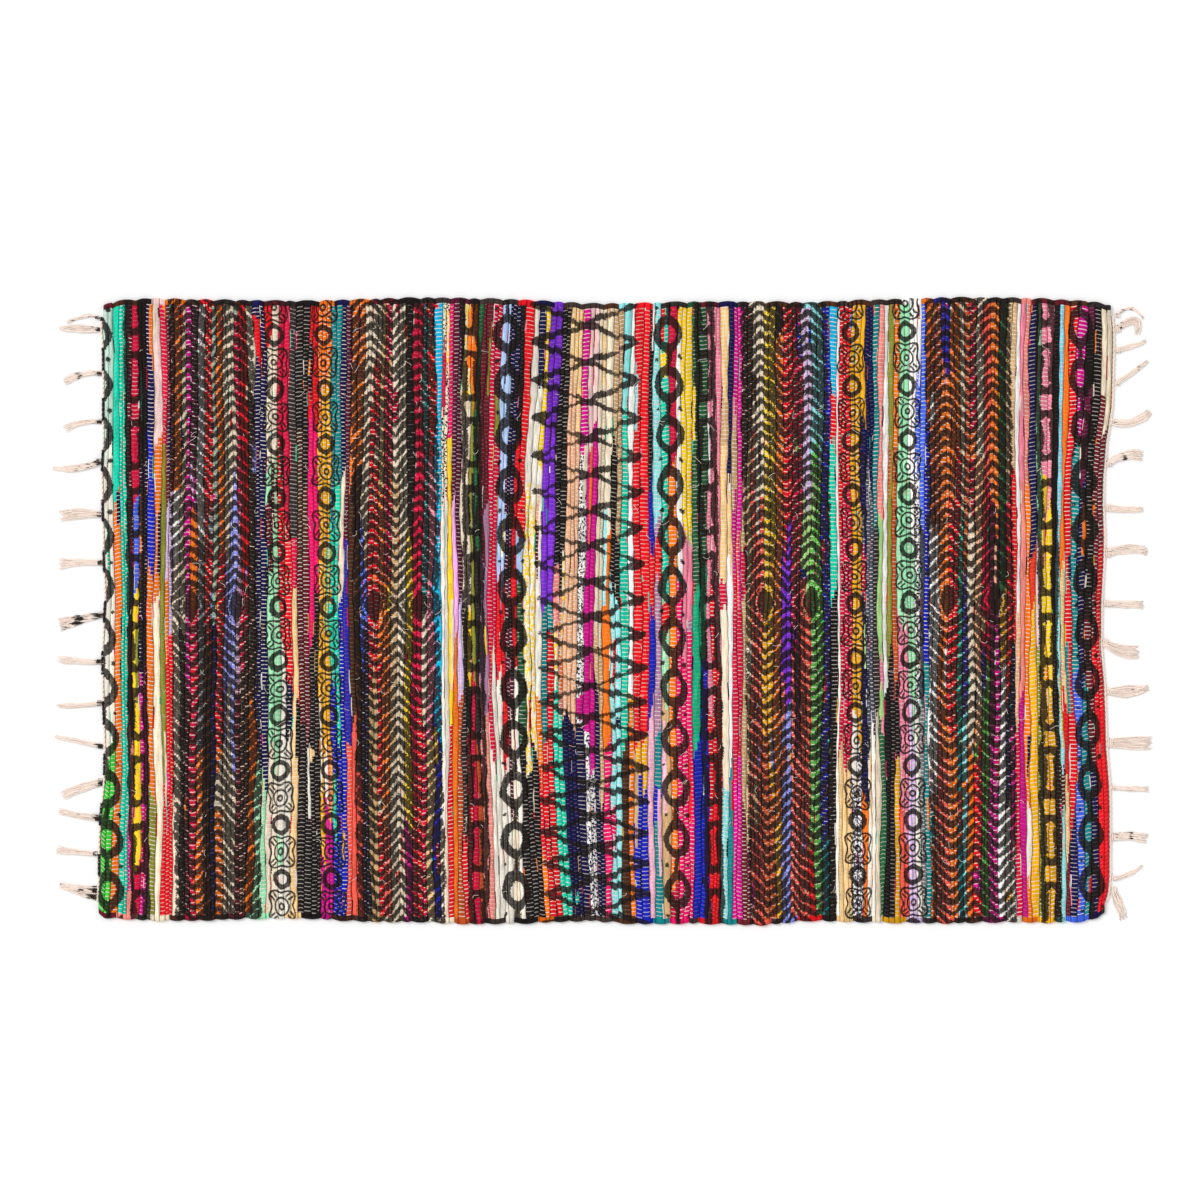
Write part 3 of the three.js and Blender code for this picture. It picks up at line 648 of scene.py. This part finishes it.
# On a scrap that takes ink badly, the thin zigzags break up and the rest of the print hardly changes
WEAK_INK_LOSS = 3.6
ZIGZAG_TAKE, OTHER_TAKE = 0.14, 0.015
STROKE_WEIGHT = 0.45
INK_DEPTH = 6.0
in_zigzag = (out > ZIGZAG_LEFT - ZIGZAG_MARGIN) & (out < ZIGZAG_RIGHT + ZIGZAG_MARGIN)
point_take = np.pad(ink_take, ((0, 1), (0, 1)), "edge")
ink = np.where(in_zigzag, ink - WEAK_INK_LOSS * (1 - point_take), ink)
take_weight = np.where(in_zigzag[:-1, :-1], ZIGZAG_TAKE, OTHER_TAKE)
ink_take = 1 - take_weight + take_weight * ink_take
ink = np.clip(ink + STROKE_WEIGHT * stroke_weight, -INK_DEPTH, INK_DEPTH)

# Printed rag weave: cut cotton and viscose scraps, matt and a little fuzzy. The dye varies along each
# strip, painted shade darkens the valleys between rows and where the rag is creased, the warp ticks are
# cream, and the black print soaks in so that only a trace of the colour below shows, with ragged edges.
rag_weave, tree = new_material("rag_weave_printed_cotton")
rag = add(tree, "Attribute", attribute_name="rag").outputs
specks = add(tree, "Attribute", attribute_name="rag_specks").outputs
print_depth = add(tree, "Attribute", attribute_name="print_depth").outputs["Fac"]
weave = add(tree, "UVMap", uv_map="Weave")
over_weft, bead, _ = add(tree, "SeparateXYZ", {0: weave}).outputs
place = add(tree, "TexCoord").outputs["Object"]

# Marks in the cloth: their size along the rug and across it in mm, how fine their detail is, the range
# of the noise that is read, and what its ends become. Fibre is 0.02 mm and is drawn coarser to show.
CLOTH_MARKS = {
    "flecks": (2.4, 3.4, 2, 0.49, 0.53, 0.0, 1.0),
    "dye": (2.2, 16, 2, 0.3, 0.7, 0.86, 1.18),
    "faded": (6, 40, 2, 0.35, 0.7, 0.9, 1.14),
    # Painted shade where the rag is creased; the same mark also raises the bump
    "crease_shade_and_bump": (1.6, 24, 2, 0.58, 0.72, 1.0, 0.7),
    "tick_shift": (7, 9, 1, 0.25, 0.75, -0.05, 0.05),
    "tick_wear": (6, 12, 1, 0.34, 0.46, 0.3, 1.0),
    "ragged": (2.2, 2.4, 3, 0.2, 0.8, -1.5, 1.5),
    "ink_wear": (2.6, 4, 3, 0.5, 0.68, 1.0, 0.9),
    "fibre": (0.4, 1.1, 2, 0.2, 0.8, 0.0, 0.5)}
marks = {}
for name, (along_mm, across_mm, detail, low, high, at_low, at_high) in CLOTH_MARKS.items():
    fineness = (1000 / along_mm, 1000 / across_mm, 100)
    spread = add(tree, "VectorMath", {0: place, 1: fineness}, operation="MULTIPLY")
    noise = add(tree, "TexNoise", {"Vector": spread, "Scale": 1.0, "Detail": detail})
    marks[name] = add(tree, "MapRange", {
        "Value": noise, "From Min": low, "From Max": high, "To Min": at_low, "To Max": at_high},
        interpolation_type="SMOOTHSTEP")

dyed = add(tree, "Mix", {0: marks["flecks"], 6: rag["Color"], 7: specks["Color"]}, data_type="RGBA")
# Painted shade: the colour darkens towards the valleys between rows, where shade falls
from_valley = add(tree, "Math", {0: over_weft, 1: 0.5}, operation="PINGPONG")
painted_valley_shade = add(tree, "MapRange", {
    "Value": from_valley, "From Min": 0.0, "From Max": 0.16, "To Min": 0.34, "To Max": 1.0},
    interpolation_type="SMOOTHSTEP")
# The dye and fading marks are the rag's own tone; the crease and valley marks are painted shade
shade = marks["dye"]
for mark in (marks["crease_shade_and_bump"], marks["faded"], painted_valley_shade):
    shade = add(tree, "Math", {0: shade, 1: mark}, operation="MULTIPLY")
shaded = add(tree, "Mix", {0: 1.0, 6: dyed, 7: shade}, data_type="RGBA", blend_type="MULTIPLY")

tick_place = add(tree, "Math", {0: bead, 1: marks["tick_shift"]}, operation="ADD")
from_tick = add(tree, "Math", {0: tick_place, 1: 0.5}, operation="PINGPONG")
tick = add(tree, "MapRange", {
    "Value": from_tick, "From Min": 0.06, "From Max": 0.125, "To Min": 1.0, "To Max": 0.0},
    interpolation_type="SMOOTHSTEP")
tick_reach = add(tree, "MapRange", {"Value": from_valley, "From Min": 0.02, "From Max": 0.12},
                 interpolation_type="SMOOTHSTEP")
for mark in (tick_reach, marks["tick_wear"], rag["Alpha"]):
    tick = add(tree, "Math", {0: tick, 1: mark}, operation="MULTIPLY")
tick_colour = add(tree, "Mix", {0: 0.88, 6: shaded, 7: linear("fbf0e2")}, data_type="RGBA")
woven = add(tree, "Mix", {0: tick, 6: shaded, 7: tick_colour}, data_type="RGBA")

# Fine strokes of the ornate columns: the field that each follows, its value along the stroke's middle,
# and half the stroke's width. The flower's rays are where the last two meet.
flower = add(tree, "Attribute", attribute_name="flower").outputs["Vector"]
lobe = add(tree, "Attribute", attribute_name="lobe").outputs["Vector"]
from_middle, from_lobes, from_ring = add(tree, "SeparateXYZ", {0: flower}).outputs
across_lobe, along_lobe, _ = add(tree, "SeparateXYZ", {0: lobe}).outputs
from_axis = add(tree, "Math", {0: across_lobe}, operation="ABSOLUTE")
strokes = []
for field, middle, half_stroke in (
        (from_middle, 3.6, 1.2), (from_middle, 10.3, 1.1), (from_lobes, 0.0, 1.25), (from_ring, 0.0, 2.9),
        (from_axis, 2.5, 1.05), (along_lobe, 16.2, 3.6)):
    away = add(tree, "Math", {0: field, 1: middle}, operation="SUBTRACT")
    away = add(tree, "Math", {0: away}, operation="ABSOLUTE")
    strokes.append(add(tree, "Math", {0: half_stroke, 1: away}, operation="SUBTRACT"))
ray_end = strokes.pop()
strokes[-1] = add(tree, "Math", {0: strokes[-1], 1: ray_end}, operation="MINIMUM")
fine_depth = strokes[0]
for stroke in strokes[1:]:
    fine_depth = add(tree, "Math", {0: stroke, 1: fine_depth}, operation="MAXIMUM")
FINE_RAGGEDNESS = 0.35
fine_depth = add(tree, "Math", {0: marks["ragged"], 1: FINE_RAGGEDNESS, 2: fine_depth},
                 operation="MULTIPLY_ADD")

ragged_depth = add(tree, "Math", {0: print_depth, 1: marks["ragged"]}, operation="ADD")
ragged_depth = add(tree, "Math", {0: ragged_depth, 1: fine_depth}, operation="MAXIMUM")
inked = add(tree, "MapRange", {"Value": ragged_depth, "From Min": -0.8, "From Max": 0.3},
            interpolation_type="SMOOTHSTEP")
for mark in (marks["ink_wear"], specks["Alpha"]):
    inked = add(tree, "Math", {0: inked, 1: mark}, operation="MULTIPLY")
INK_TRACE = 0.05
ink_black = add(tree, "Mix", {0: INK_TRACE, 6: linear("1e1714"), 7: woven}, data_type="RGBA")
# The painted shade of the valleys between rows darkens the ink too
ink_black = add(tree, "Mix", {0: 1.0, 6: ink_black, 7: painted_valley_shade},
                data_type="RGBA", blend_type="MULTIPLY")
printed = add(tree, "Mix", {0: inked, 6: woven, 7: ink_black}, data_type="RGBA")

relief = add(tree, "Math", {0: tick, 1: 0.6, 2: marks["fibre"]}, operation="MULTIPLY_ADD")
relief = add(tree, "Math", {0: marks["crease_shade_and_bump"], 1: 0.7, 2: relief}, operation="MULTIPLY_ADD")
bump = add(tree, "Bump", {"Strength": 0.6, "Distance": 0.0007, "Height": relief})
cloth_shader = add(tree, "BsdfPrincipled", {
    "Roughness": 0.9, "Specular IOR Level": 0.15, "Sheen Weight": 0.02, "Sheen Roughness": 0.5,
    "Base Color": printed, "Normal": bump})
add(tree, "OutputMaterial", {"Surface": cloth_shader})


def set_values(piece, name, kind, domain, values):
    """A named attribute on the points, corners or faces of a piece."""
    field = {"FLOAT": "value", "FLOAT_VECTOR": "vector", "FLOAT_COLOR": "color"}[kind]
    layer = piece.data.attributes.new(name, kind, domain)
    layer.data.foreach_set(field, values.astype(np.float32).ravel())


def on_length(place, whole):
    """Where a place along the whole lies between the margins of the finish map."""
    return MAP_MARGIN + (1 - 2 * MAP_MARGIN) * place / whole


# Dark dye has crept into the warp, so the ticks on the darkest scraps are dimmer
DARK_DYE, DARK_TICKS = 0.035, 0.52
BANDS = 8
HALF_STEPS = steps // 2
UNDER_FOLDS = FOLDS // UNDER_LINES
UNDER_TURN = math.ceil(TURN_STEPS / UNDER_STEPS)
# Corners round a face of a wall, in steps or lines: two below, and the others along the top's edge
SIDE_CORNERS = np.array([4, 0, 0, 1, 2, 3, 4])
END_CORNERS = np.array([0, 2, 2, 1, 0])
# Finish map: the top in two halves side by side, each with its walls, and the narrower underside
MAP_MARGIN, MAP_PITCH, MAP_STRIP, MAP_WALL = 0.015, 0.4, 0.39, 0.004
MAP_UNDERSIDE, MAP_UNDERSIDE_STRIP = 0.8, 0.195
MAP_SIDES, MAP_ENDS = (0.001, 0.0055), ((0.001, 0.012), (0.999, 0.988))
band_starts = np.round(np.linspace(0, wefts, BANDS + 1)).astype(int)
for band, (first_weft, end_weft) in enumerate(zip(band_starts[:-1], band_starts[1:])):
    first_line = first_weft * FOLDS
    top = cloth_top[first_line : end_weft * FOLDS + 1]
    under = cloth_under[first_weft * UNDER_FOLDS : end_weft * UNDER_FOLDS + 1]
    t = np.arange(top[:, :, 0].size).reshape(top.shape[:2])
    u = t.size + np.arange(under[:, :, 0].size).reshape(under.shape[:2])
    last_line, last_under, under_faces = t.shape[0] - 1, u.shape[0] - 1, u.shape[1] - 1
    k, j = (index.reshape(-1, 1) for index in np.indices((last_line, steps)))
    m, i = (index.reshape(-1, 1) for index in np.indices((last_under, under_faces)))
    s = UNDER_STEPS * np.arange(under_faces)[:, None]
    c = UNDER_LINES * np.arange(last_under)[:, None]
    top_lines, top_steps = k + [0, 1, 1, 0], j + [0, 0, 1, 1]
    under_lines, under_steps = m + [0, 0, 1, 1], i + [0, 1, 1, 0]
    groups = [t[top_lines, top_steps], u[under_lines, under_steps]]
    part = (j >= HALF_STEPS).astype(int)
    finish_maps = [
        (part * MAP_PITCH + MAP_STRIP * top_lines / last_line,
         on_length(top_steps - part * HALF_STEPS, HALF_STEPS)),
        (MAP_UNDERSIDE + MAP_UNDERSIDE_STRIP * under_lines / last_under, on_length(under_steps, under_faces))]
    part = (s >= HALF_STEPS).astype(int)
    for line, corners, offset in ((0, SIDE_CORNERS, MAP_SIDES[0]),
                                  (-1, UNDER_STEPS - SIDE_CORNERS, MAP_SIDES[1])):
        around = s + corners
        groups.append(np.concatenate([u[line, around[:, :2] // UNDER_STEPS], t[line, around[:, 2:]]], 1))
        rise = MAP_WALL * (np.arange(len(corners)) > 1)
        share = np.clip((around - part * HALF_STEPS) / HALF_STEPS, 0, 1)
        finish_maps.append((part * MAP_PITCH + MAP_STRIP + offset + rise, on_length(share, 1)))
    for step, corners, (low, high) in ((0, END_CORNERS, MAP_ENDS[0]),
                                       (-1, UNDER_LINES - END_CORNERS, MAP_ENDS[1])):
        around = c + corners
        groups.append(np.concatenate([u[around[:, :2] // UNDER_LINES, step], t[around[:, 2:], step]], 1))
        level = np.where(np.arange(len(corners)) > 1, high, low)
        finish_maps.append((-step * MAP_PITCH + MAP_STRIP * around / last_line, level + 0 * around))
    points = np.concatenate([top.reshape(-1, 3), under.reshape(-1, 3)])
    piece = mesh_piece(f"woven_cloth_{band + 1}", points, groups, rag_weave)

    face_strip = first_line + np.concatenate([k, UNDER_LINES * m, 0 * s, 0 * s + last_line - 1, c, c])[:, 0]
    face_step = np.concatenate([j, UNDER_STEPS * i + 1, s + 1, s + 1, 0 * c, 0 * c + steps - 1])[:, 0]
    for name, choice, strength in (("rag", rag_main, tick_strength), ("rag_specks", rag_specks, ink_take)):
        colours = rag_table[choice[face_strip, face_step]].astype(np.float32)
        colours[:, :3] *= scrap_shade[face_strip, face_step][:, None]
        darkest = (colours[:, :3].max(1) < DARK_DYE) & (name == "rag")
        colours[:, 3] = strength[face_strip, face_step] * np.where(darkest, DARK_TICKS, 1)
        set_values(piece, name, "FLOAT_COLOR", "FACE", colours)
    corner_lines = first_line + top_lines
    fields = ornament(out[corner_lines, top_steps], even_up[corner_lines, top_steps])
    for name, field in zip(("flower", "lobe"), fields):
        corner_field = np.full((len(piece.data.loops), 3), FAR_AWAY)
        corner_field[: top_lines.size] = field.reshape(-1, 3)
        set_values(piece, name, "FLOAT_VECTOR", "CORNER", corner_field)
    depth = np.full(len(points), -INK_DEPTH)
    depth[: t.size] = ink[first_line : first_line + top.shape[0]].ravel()
    set_values(piece, "print_depth", "FLOAT", "POINT", depth)

    # Weave map: share of the way over the weft, and beads along it, half a bead on in every other weft
    over = np.append(FOLD_PLACES, 1.0)[k % FOLDS + top_lines - k]
    beads = bead_count[top_steps] + weft_shift[k // FOLDS + first_weft]
    turned = (j < TURN_STEPS) | (j >= steps - TURN_STEPS)
    weave_maps = [(over, np.where(turned, 0.5, beads))]
    over = (m % UNDER_FOLDS + under_lines - m) / UNDER_FOLDS
    beads = bead_count[UNDER_STEPS * under_steps] + weft_shift[m // UNDER_FOLDS + first_weft]
    turned = (i < UNDER_TURN) | (i >= under_faces - UNDER_TURN)
    weave_maps.append((over, np.where(turned, 0.5, beads)))
    weave_maps += [(np.full(wall.shape, 0.5), np.full(wall.shape, 0.5)) for wall in groups[2:]]
    for name, maps in (("Weave", weave_maps), ("OFBake", finish_maps)):
        corners = np.concatenate([np.stack(pair, -1).reshape(-1, 2) for pair in maps])
        piece.data.uv_layers.new(name=name).data.foreach_set("uv", corners.astype(np.float32).ravel())

    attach(piece, "root")
    if band == 0:
        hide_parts("rug_body")

# Headings and fringes
# A narrow twined cream cotton cord locks the last row at each end. The thin cotton warp ends are
# gathered beside it, knotted in bunches and left loose, so that each bunch opens to its cut tip.

# Bunches of warp ends: the place across the rug, how far out and up the bend and then the tip lie from
# there, the widths at neck, belly and end, and the number of locks
LEFT_BUNCHES = (
    (427, 18, 8, 49, -7, 2, 4, 4, 2), (410, 27, 1, 60, 2, 5, 10, 5, 5), (346, 28, 4, 56, -13, 5, 7, 13, 5),
    (276, 28, 3, 56, -11, 4, 6, 10, 4), (218, 35, -13, 71, -10, 6, 10, 4, 5),
    (141, 29, 4, 62, -2, 6, 15, 16, 7), (71, 33, 1, 64, -2, 6, 8, 16, 5), (-5, 33, -5, 65, -15, 5, 12, 19, 7),
    (-73, 33, -1, 64, 4, 5, 7, 11, 4), (-133, 32, -5, 67, -4, 5, 6, 6, 3), (-196, 33, 7, 71, 14, 5, 6, 5, 3),
    (-248, 26, -4, 60, -20, 9, 12, 14, 7), (-300, 31, 3, 61, 10, 8, 8, 9, 5),
    (-352, 30, 2, 61, 6, 5, 7, 13, 5), (-409, 28, 3, 55, 12, 20, 13, 8, 7))
RIGHT_BUNCHES = (
    (430, 26, 23, 42, -5, 2, 3, 3, 2), (410, 40, 30, 32, -9, 6, 12, 8, 5), (380, 21, 4, 46, 13, 6, 6, 5, 4),
    (332, 23, 11, 49, 33, 5, 6, 6, 4), (276, 30, -9, 58, 15, 8, 9, 13, 6),
    (214, 23, 18, 54, 13, 5, 10, 17, 6), (151, 31, -5, 56, -2, 9, 8, 7, 4),
    (85, 34, 10, 62, 2, 11, 12, 12, 6), (12, 27, -1, 59, -2, 8, 9, 11, 5),
    (-44, 24, -17, 53, -15, 8, 17, 20, 8), (-116, 30, -3, 62, 5, 8, 19, 8, 7),
    (-191, 32, -1, 65, -1, 12, 18, 22, 8), (-256, 27, -2, 57, -2, 4, 7, 9, 3),
    (-328, 26, 5, 52, -3, 9, 10, 16, 6), (-388, 25, 3, 45, 19, 4, 5, 3, 3),
    (-404, 7, -11, 18, -44, 7, 13, 12, 5))

cotton_fringe, tree = new_material("cotton_warp_unbleached")
# Unbleached cotton yarn: warm off-white, dull and soft, with streaks of print ink where it was laid on
# the knots. The yarn's fibres are too fine to show and are drawn coarser.
place = add(tree, "TexCoord").outputs["Object"]
dye = add(tree, "Attribute", attribute_name="dye").outputs["Fac"]
YARN_MARKS = {"streaks": (16, 2.6), "threads": (3.5, 1.0), "fibres": (0.9, 0.4)}
yarn = {}
for name, (along_mm, across_mm) in YARN_MARKS.items():
    fineness = (1000 / along_mm, 1000 / across_mm, 300)
    spread = add(tree, "VectorMath", {0: place, 1: fineness}, operation="MULTIPLY")
    yarn[name] = add(tree, "TexNoise", {"Vector": spread, "Scale": 1.0, "Detail": 2})
ink_level = add(tree, "Math", {0: yarn["streaks"], 1: dye}, operation="ADD")
ink_mask = add(tree, "MapRange", {"Value": ink_level, "From Min": 0.97, "From Max": 1.08},
               interpolation_type="SMOOTHSTEP")
thread_shade = add(tree, "MapRange", {
    "Value": yarn["threads"], "From Min": 0.3, "From Max": 0.7, "To Min": 0.94, "To Max": 1.06},
    interpolation_type="SMOOTHSTEP")
cotton = add(tree, "Mix", {0: ink_mask, 6: linear("ffeee2"), 7: linear("2b211b")}, data_type="RGBA")
cotton = add(tree, "Mix", {0: 1.0, 6: cotton, 7: thread_shade}, data_type="RGBA", blend_type="MULTIPLY")
thread_bump = add(tree, "Bump", {"Strength": 0.4, "Distance": 0.0003, "Height": yarn["fibres"]})
fringe_shader = add(tree, "BsdfPrincipled", {
    "Roughness": 0.88, "Specular IOR Level": 0.25, "Sheen Weight": 0.1, "Sheen Roughness": 0.5,
    "Base Color": cotton, "Normal": thread_bump})
add(tree, "OutputMaterial", {"Surface": fringe_shader})


def tubes(paths, radii, sides):
    """Closed tubes along paths of like length, as points and two arrays of faces."""
    count, length = paths.shape[:2]
    forward = np.gradient(paths, axis=1)
    forward /= np.linalg.norm(forward, axis=2, keepdims=True) + 1e-9
    sideways = np.cross(np.array([0.0, 0.0, 1.0]), forward)
    sideways /= np.linalg.norm(sideways, axis=2, keepdims=True) + 1e-9
    upward = np.cross(forward, sideways)
    turns = 2 * np.pi * np.arange(sides) / sides
    around = (np.cos(turns)[:, None] * sideways[:, :, None] + np.sin(turns)[:, None] * upward[:, :, None])
    points = paths[:, :, None] + radii[:, :, None, None] * around
    number = np.arange(count * length * sides).reshape(count, length, sides)
    following = np.roll(number, -1, axis=2)
    walls = np.stack([number[:, :-1], following[:, :-1], following[:, 1:], number[:, 1:]], -1).reshape(-1, 4)
    caps = np.concatenate([number[:, 0, ::-1], number[:, -1]])
    return points.reshape(-1, 3), walls, caps


FLOOR_GAP = 0.7
STRAND_STEPS, STRAND_SIDES, STRAND_RADIUS = 11, 4, 0.56
STRANDS_PER_LOCK, EXTRA_STRANDS = 4, 6
ROOT_OUT, LANE_SCATTER, SHORTENING = 1.0, 0.04, 0.16
# Along a strand: its height lying flat and what the pile adds, and the ink that the knot left on it
HEIGHT_PLACES, FLAT, PILED = (0, 0.1, 0.35, 1), np.array([1.2, 0.6, 0, 0]), np.array([0, 3.0, 2.2, 1.1])
DYE_PLACES, KNOT_DYE = (0, 0.12, 0.3, 1), np.array([0.34, 0.2, 0.04, 0])
BUNCH_DYE_SPREAD, STRAND_DYE_SPREAD = 0.07, 0.03
SPOT_PLACES, SPOT_DYES, SPOT_REACH = (0.3, 0.8), (0.0, 0.12, 0.28), 0.14
BELLY_FULLNESS, END_FULLNESS = 1.05, 0.98
STRAYING, STRAY_WAVES, THICKNESSES = (0.3, 1.2), (1.2, 2.6), (0.8, 1.15)
KNOT_TURNS, KNOT_RADIUS, KNOT_HEIGHT = 3, 1.05, 3.4
KNOT_OUT, KNOT_PITCH, KNOT_LEAN, KNOT_ROOM = 1.2, 1.9, 0.5, 0.9
PLY_STEPS, PLY_TURNS, PLY_SIDES, PLY_RADIUS, PLY_TWIST = 361, 60, 5, 1.3, 0.9
HEADING_OUT, HEADING_INSET, HEADING_HEIGHT, HEADING_MARGIN = 2.0, 6.0, 2.2, 0.012
HEADING_INKED, LINK_DYE, HEADING_DYE = 17.0, 0.72, 0.2
fringe_draws = np.random.default_rng(23)
t = np.linspace(0, 1, STRAND_STEPS + 1)
strand_radius = STRAND_RADIUS * np.interp(t, [0, 0.9, 1], [1.0, 0.95, 0.45])
knot_radius = KNOT_RADIUS * np.interp(t, [0, 0.15, 0.85, 1], [0.6, 1, 1, 0.6])
knot_angle = np.pi * (0.1 + 0.8 * t)
for side, outward, bunches, soiling, knot_dye in (("left", -1, LEFT_BUNCHES, 0.27, 0.6),
                                                  ("right", 1, RIGHT_BUNCHES, 0.2, 0.34)):
    paths, radii, dyes, knot_paths, ply_paths = [], [], [], [], []
    for y, bend_out, bend_rise, tip_out, tip_rise, neck, belly, end, locks in bunches:
        edge = read(END_LINES, y, 1 if outward < 0 else 2)
        root = np.array([edge + outward * ROOT_OUT, y, 0])
        bend = np.array([edge + outward * bend_out, y + bend_rise, 0])
        tip = np.array([edge + outward * tip_out, y + tip_rise, 0])
        strand_count = STRANDS_PER_LOCK * locks + EXTRA_STRANDS
        soiled = soiling + fringe_draws.normal(0, BUNCH_DYE_SPREAD)
        spot, spot_ink = fringe_draws.uniform(*SPOT_PLACES), fringe_draws.choice(SPOT_DYES)
        for strand in range(strand_count):
            lane = (strand + 0.5) / strand_count - 0.5 + fringe_draws.normal(0, LANE_SCATTER)
            way = t * (1 - SHORTENING * fringe_draws.random() ** 2)
            share = way[:, None]
            path = (1 - share) ** 2 * root + 2 * share * (1 - share) * bend + share ** 2 * tip
            forward = np.gradient(path, axis=0)
            forward /= np.linalg.norm(forward, axis=1, keepdims=True)
            sideways = np.stack([-forward[:, 1], forward[:, 0], forward[:, 0] * 0], -1)
            width = np.interp(way, [0, 0.5, 1], [neck, BELLY_FULLNESS * belly, END_FULLNESS * end])
            wave = fringe_draws.uniform(*STRAYING) * np.sin(
                2 * np.pi * (fringe_draws.uniform(*STRAY_WAVES) * way + fringe_draws.random()))
            path = path + sideways * (lane * width + wave * way)[:, None]
            path[:, 2] = FLOOR_GAP + np.interp(way, HEIGHT_PLACES, FLAT + PILED * fringe_draws.random())
            paths.append(path)
            radii.append(strand_radius * fringe_draws.uniform(*THICKNESSES))
            spotted = spot_ink * np.clip(1 - np.abs(way - spot) / SPOT_REACH, 0, 1)
            dyes.append(np.interp(way, DYE_PLACES, soiled + KNOT_DYE) + spotted
                        + fringe_draws.normal(0, STRAND_DYE_SPREAD))
        # Overhand knot: a cord of three turns wrapped round the bunch's neck
        for turn in range(KNOT_TURNS):
            knot_out = KNOT_OUT + KNOT_PITCH * turn + KNOT_LEAN * turn * np.sin(knot_angle)
            knot_paths.append(np.stack([edge + outward * knot_out,
                                        y + (neck / 2 + KNOT_ROOM) * np.cos(knot_angle),
                                        FLOOR_GAP + KNOT_HEIGHT * np.sin(knot_angle)], -1))
    knot_radii = np.tile(knot_radius, (len(knot_paths), 1))
    knot_dyes = np.full(knot_radii.shape, knot_dye)

    # Heading cord: two plies twisted round each other along the cloth's end. The block reached over the
    # left one, so the links between its rings are printed there too
    at_end = 0 if outward < 0 else -1
    heading_share = np.linspace(HEADING_MARGIN, 1 - HEADING_MARGIN, PLY_STEPS)
    end_line = row_x(0.0 if outward < 0 else 1.0, heading_share)
    heading_room = far_y[at_end] - near_y[at_end] - 2 * HEADING_INSET
    heading_y = near_y[at_end] + HEADING_INSET + heading_room * heading_share
    for ply in range(2):
        angle = heading_share * 2 * np.pi * PLY_TURNS + np.pi * ply
        ply_out = HEADING_GAP + HEADING_OUT + PLY_TWIST * np.cos(angle)
        ply_paths.append(np.stack([end_line + outward * ply_out, heading_y,
                                   HEADING_HEIGHT + PLY_TWIST * np.sin(angle)], -1))
    from_ring, _ = repeat(heading_y - PRINT_MIDDLE[1], RING_FIRST, RING_PITCH, RING_COUNT)
    linked = (outward < 0) & (RING_PITCH / 2 - np.abs(from_ring) < HEADING_INKED)
    ply_dyes = np.tile(np.where(linked, LINK_DYE, HEADING_DYE), 2)

    all_points, faces, all_dyes = np.zeros((0, 3)), [], []
    for tube_paths, tube_radii, tube_dyes, sides in (
            (paths, radii, dyes, STRAND_SIDES), (knot_paths, knot_radii, knot_dyes, STRAND_SIDES),
            (ply_paths, np.full((2, PLY_STEPS), PLY_RADIUS), ply_dyes, PLY_SIDES)):
        points, walls, caps = tubes(np.array(tube_paths), np.array(tube_radii), sides)
        faces += [walls + len(all_points), caps + len(all_points)]
        all_points = np.concatenate([all_points, points])
        all_dyes.append(np.repeat(np.ravel(tube_dyes), sides))
    fringe = mesh_piece(f"fringe_and_heading_{side}", all_points + [*GROUP_SHIFT, 0], faces, cotton_fringe)
    set_values(fringe, "dye", "FLOAT", "POINT", np.concatenate(all_dyes))
    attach(fringe, "root")
    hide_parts(f"fringe_{side}")

# Loose threads
# Fine cotton threads frayed from the cut edges of the scraps, curling over the wefts.
LOOSE_THREADS, THREAD_POINTS = 420, 9
THREAD_RADIUS, THREAD_SIDES = 0.32, 3
THREAD_LENGTHS, THREAD_CURL, THREAD_LIFT = (5, 15), 1.5, 0.35
THREAD_MARGIN = 20
LINES_PER_MM, STEPS_PER_MM = 0.55, 0.5


def on_cloth(line, step):
    """Points of the cloth's top at fractional lines and steps."""
    low_line, low_step = np.floor(line).astype(int), np.floor(step).astype(int)
    line_share, step_part = (line - low_line)[..., None], (step - low_step)[..., None]
    low, high = (cloth_top[low_line, at] * (1 - line_share) + cloth_top[low_line + 1, at] * line_share
                 for at in (low_step, low_step + 1))
    return low * (1 - step_part) + high * step_part


thread_draws = np.random.default_rng(31)
each = (LOOSE_THREADS, 1)
drawn = np.linspace(-0.5, 0.5, THREAD_POINTS)[None, :]
reach = thread_draws.uniform(*THREAD_LENGTHS, each)
heading = thread_draws.uniform(0, 2 * np.pi, each) + thread_draws.normal(0, THREAD_CURL, each) * drawn
thread_line = thread_draws.uniform(THREAD_MARGIN, len(lines) - 1 - THREAD_MARGIN, each) + np.cumsum(
    np.cos(heading) * reach / THREAD_POINTS * LINES_PER_MM, axis=1)
thread_step = thread_draws.uniform(THREAD_MARGIN, steps - 1 - THREAD_MARGIN, each) + np.cumsum(
    np.sin(heading) * reach / THREAD_POINTS * STEPS_PER_MM, axis=1)
thread_paths = on_cloth(thread_line, thread_step)
height = thread_paths[:, :, 2]
thread_paths[:, :, 2] = 0.5 * height + 0.5 * height.max(1, keepdims=True) + THREAD_LIFT
thread_radii = np.full((LOOSE_THREADS, THREAD_POINTS), THREAD_RADIUS)
thread_points, thread_walls, thread_caps = tubes(thread_paths, thread_radii, THREAD_SIDES)
threads = mesh_piece("loose_threads", thread_points, [thread_walls, thread_caps], cotton_fringe)
threads.data.attributes.new("dye", "FLOAT", "POINT")
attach(threads, "root")
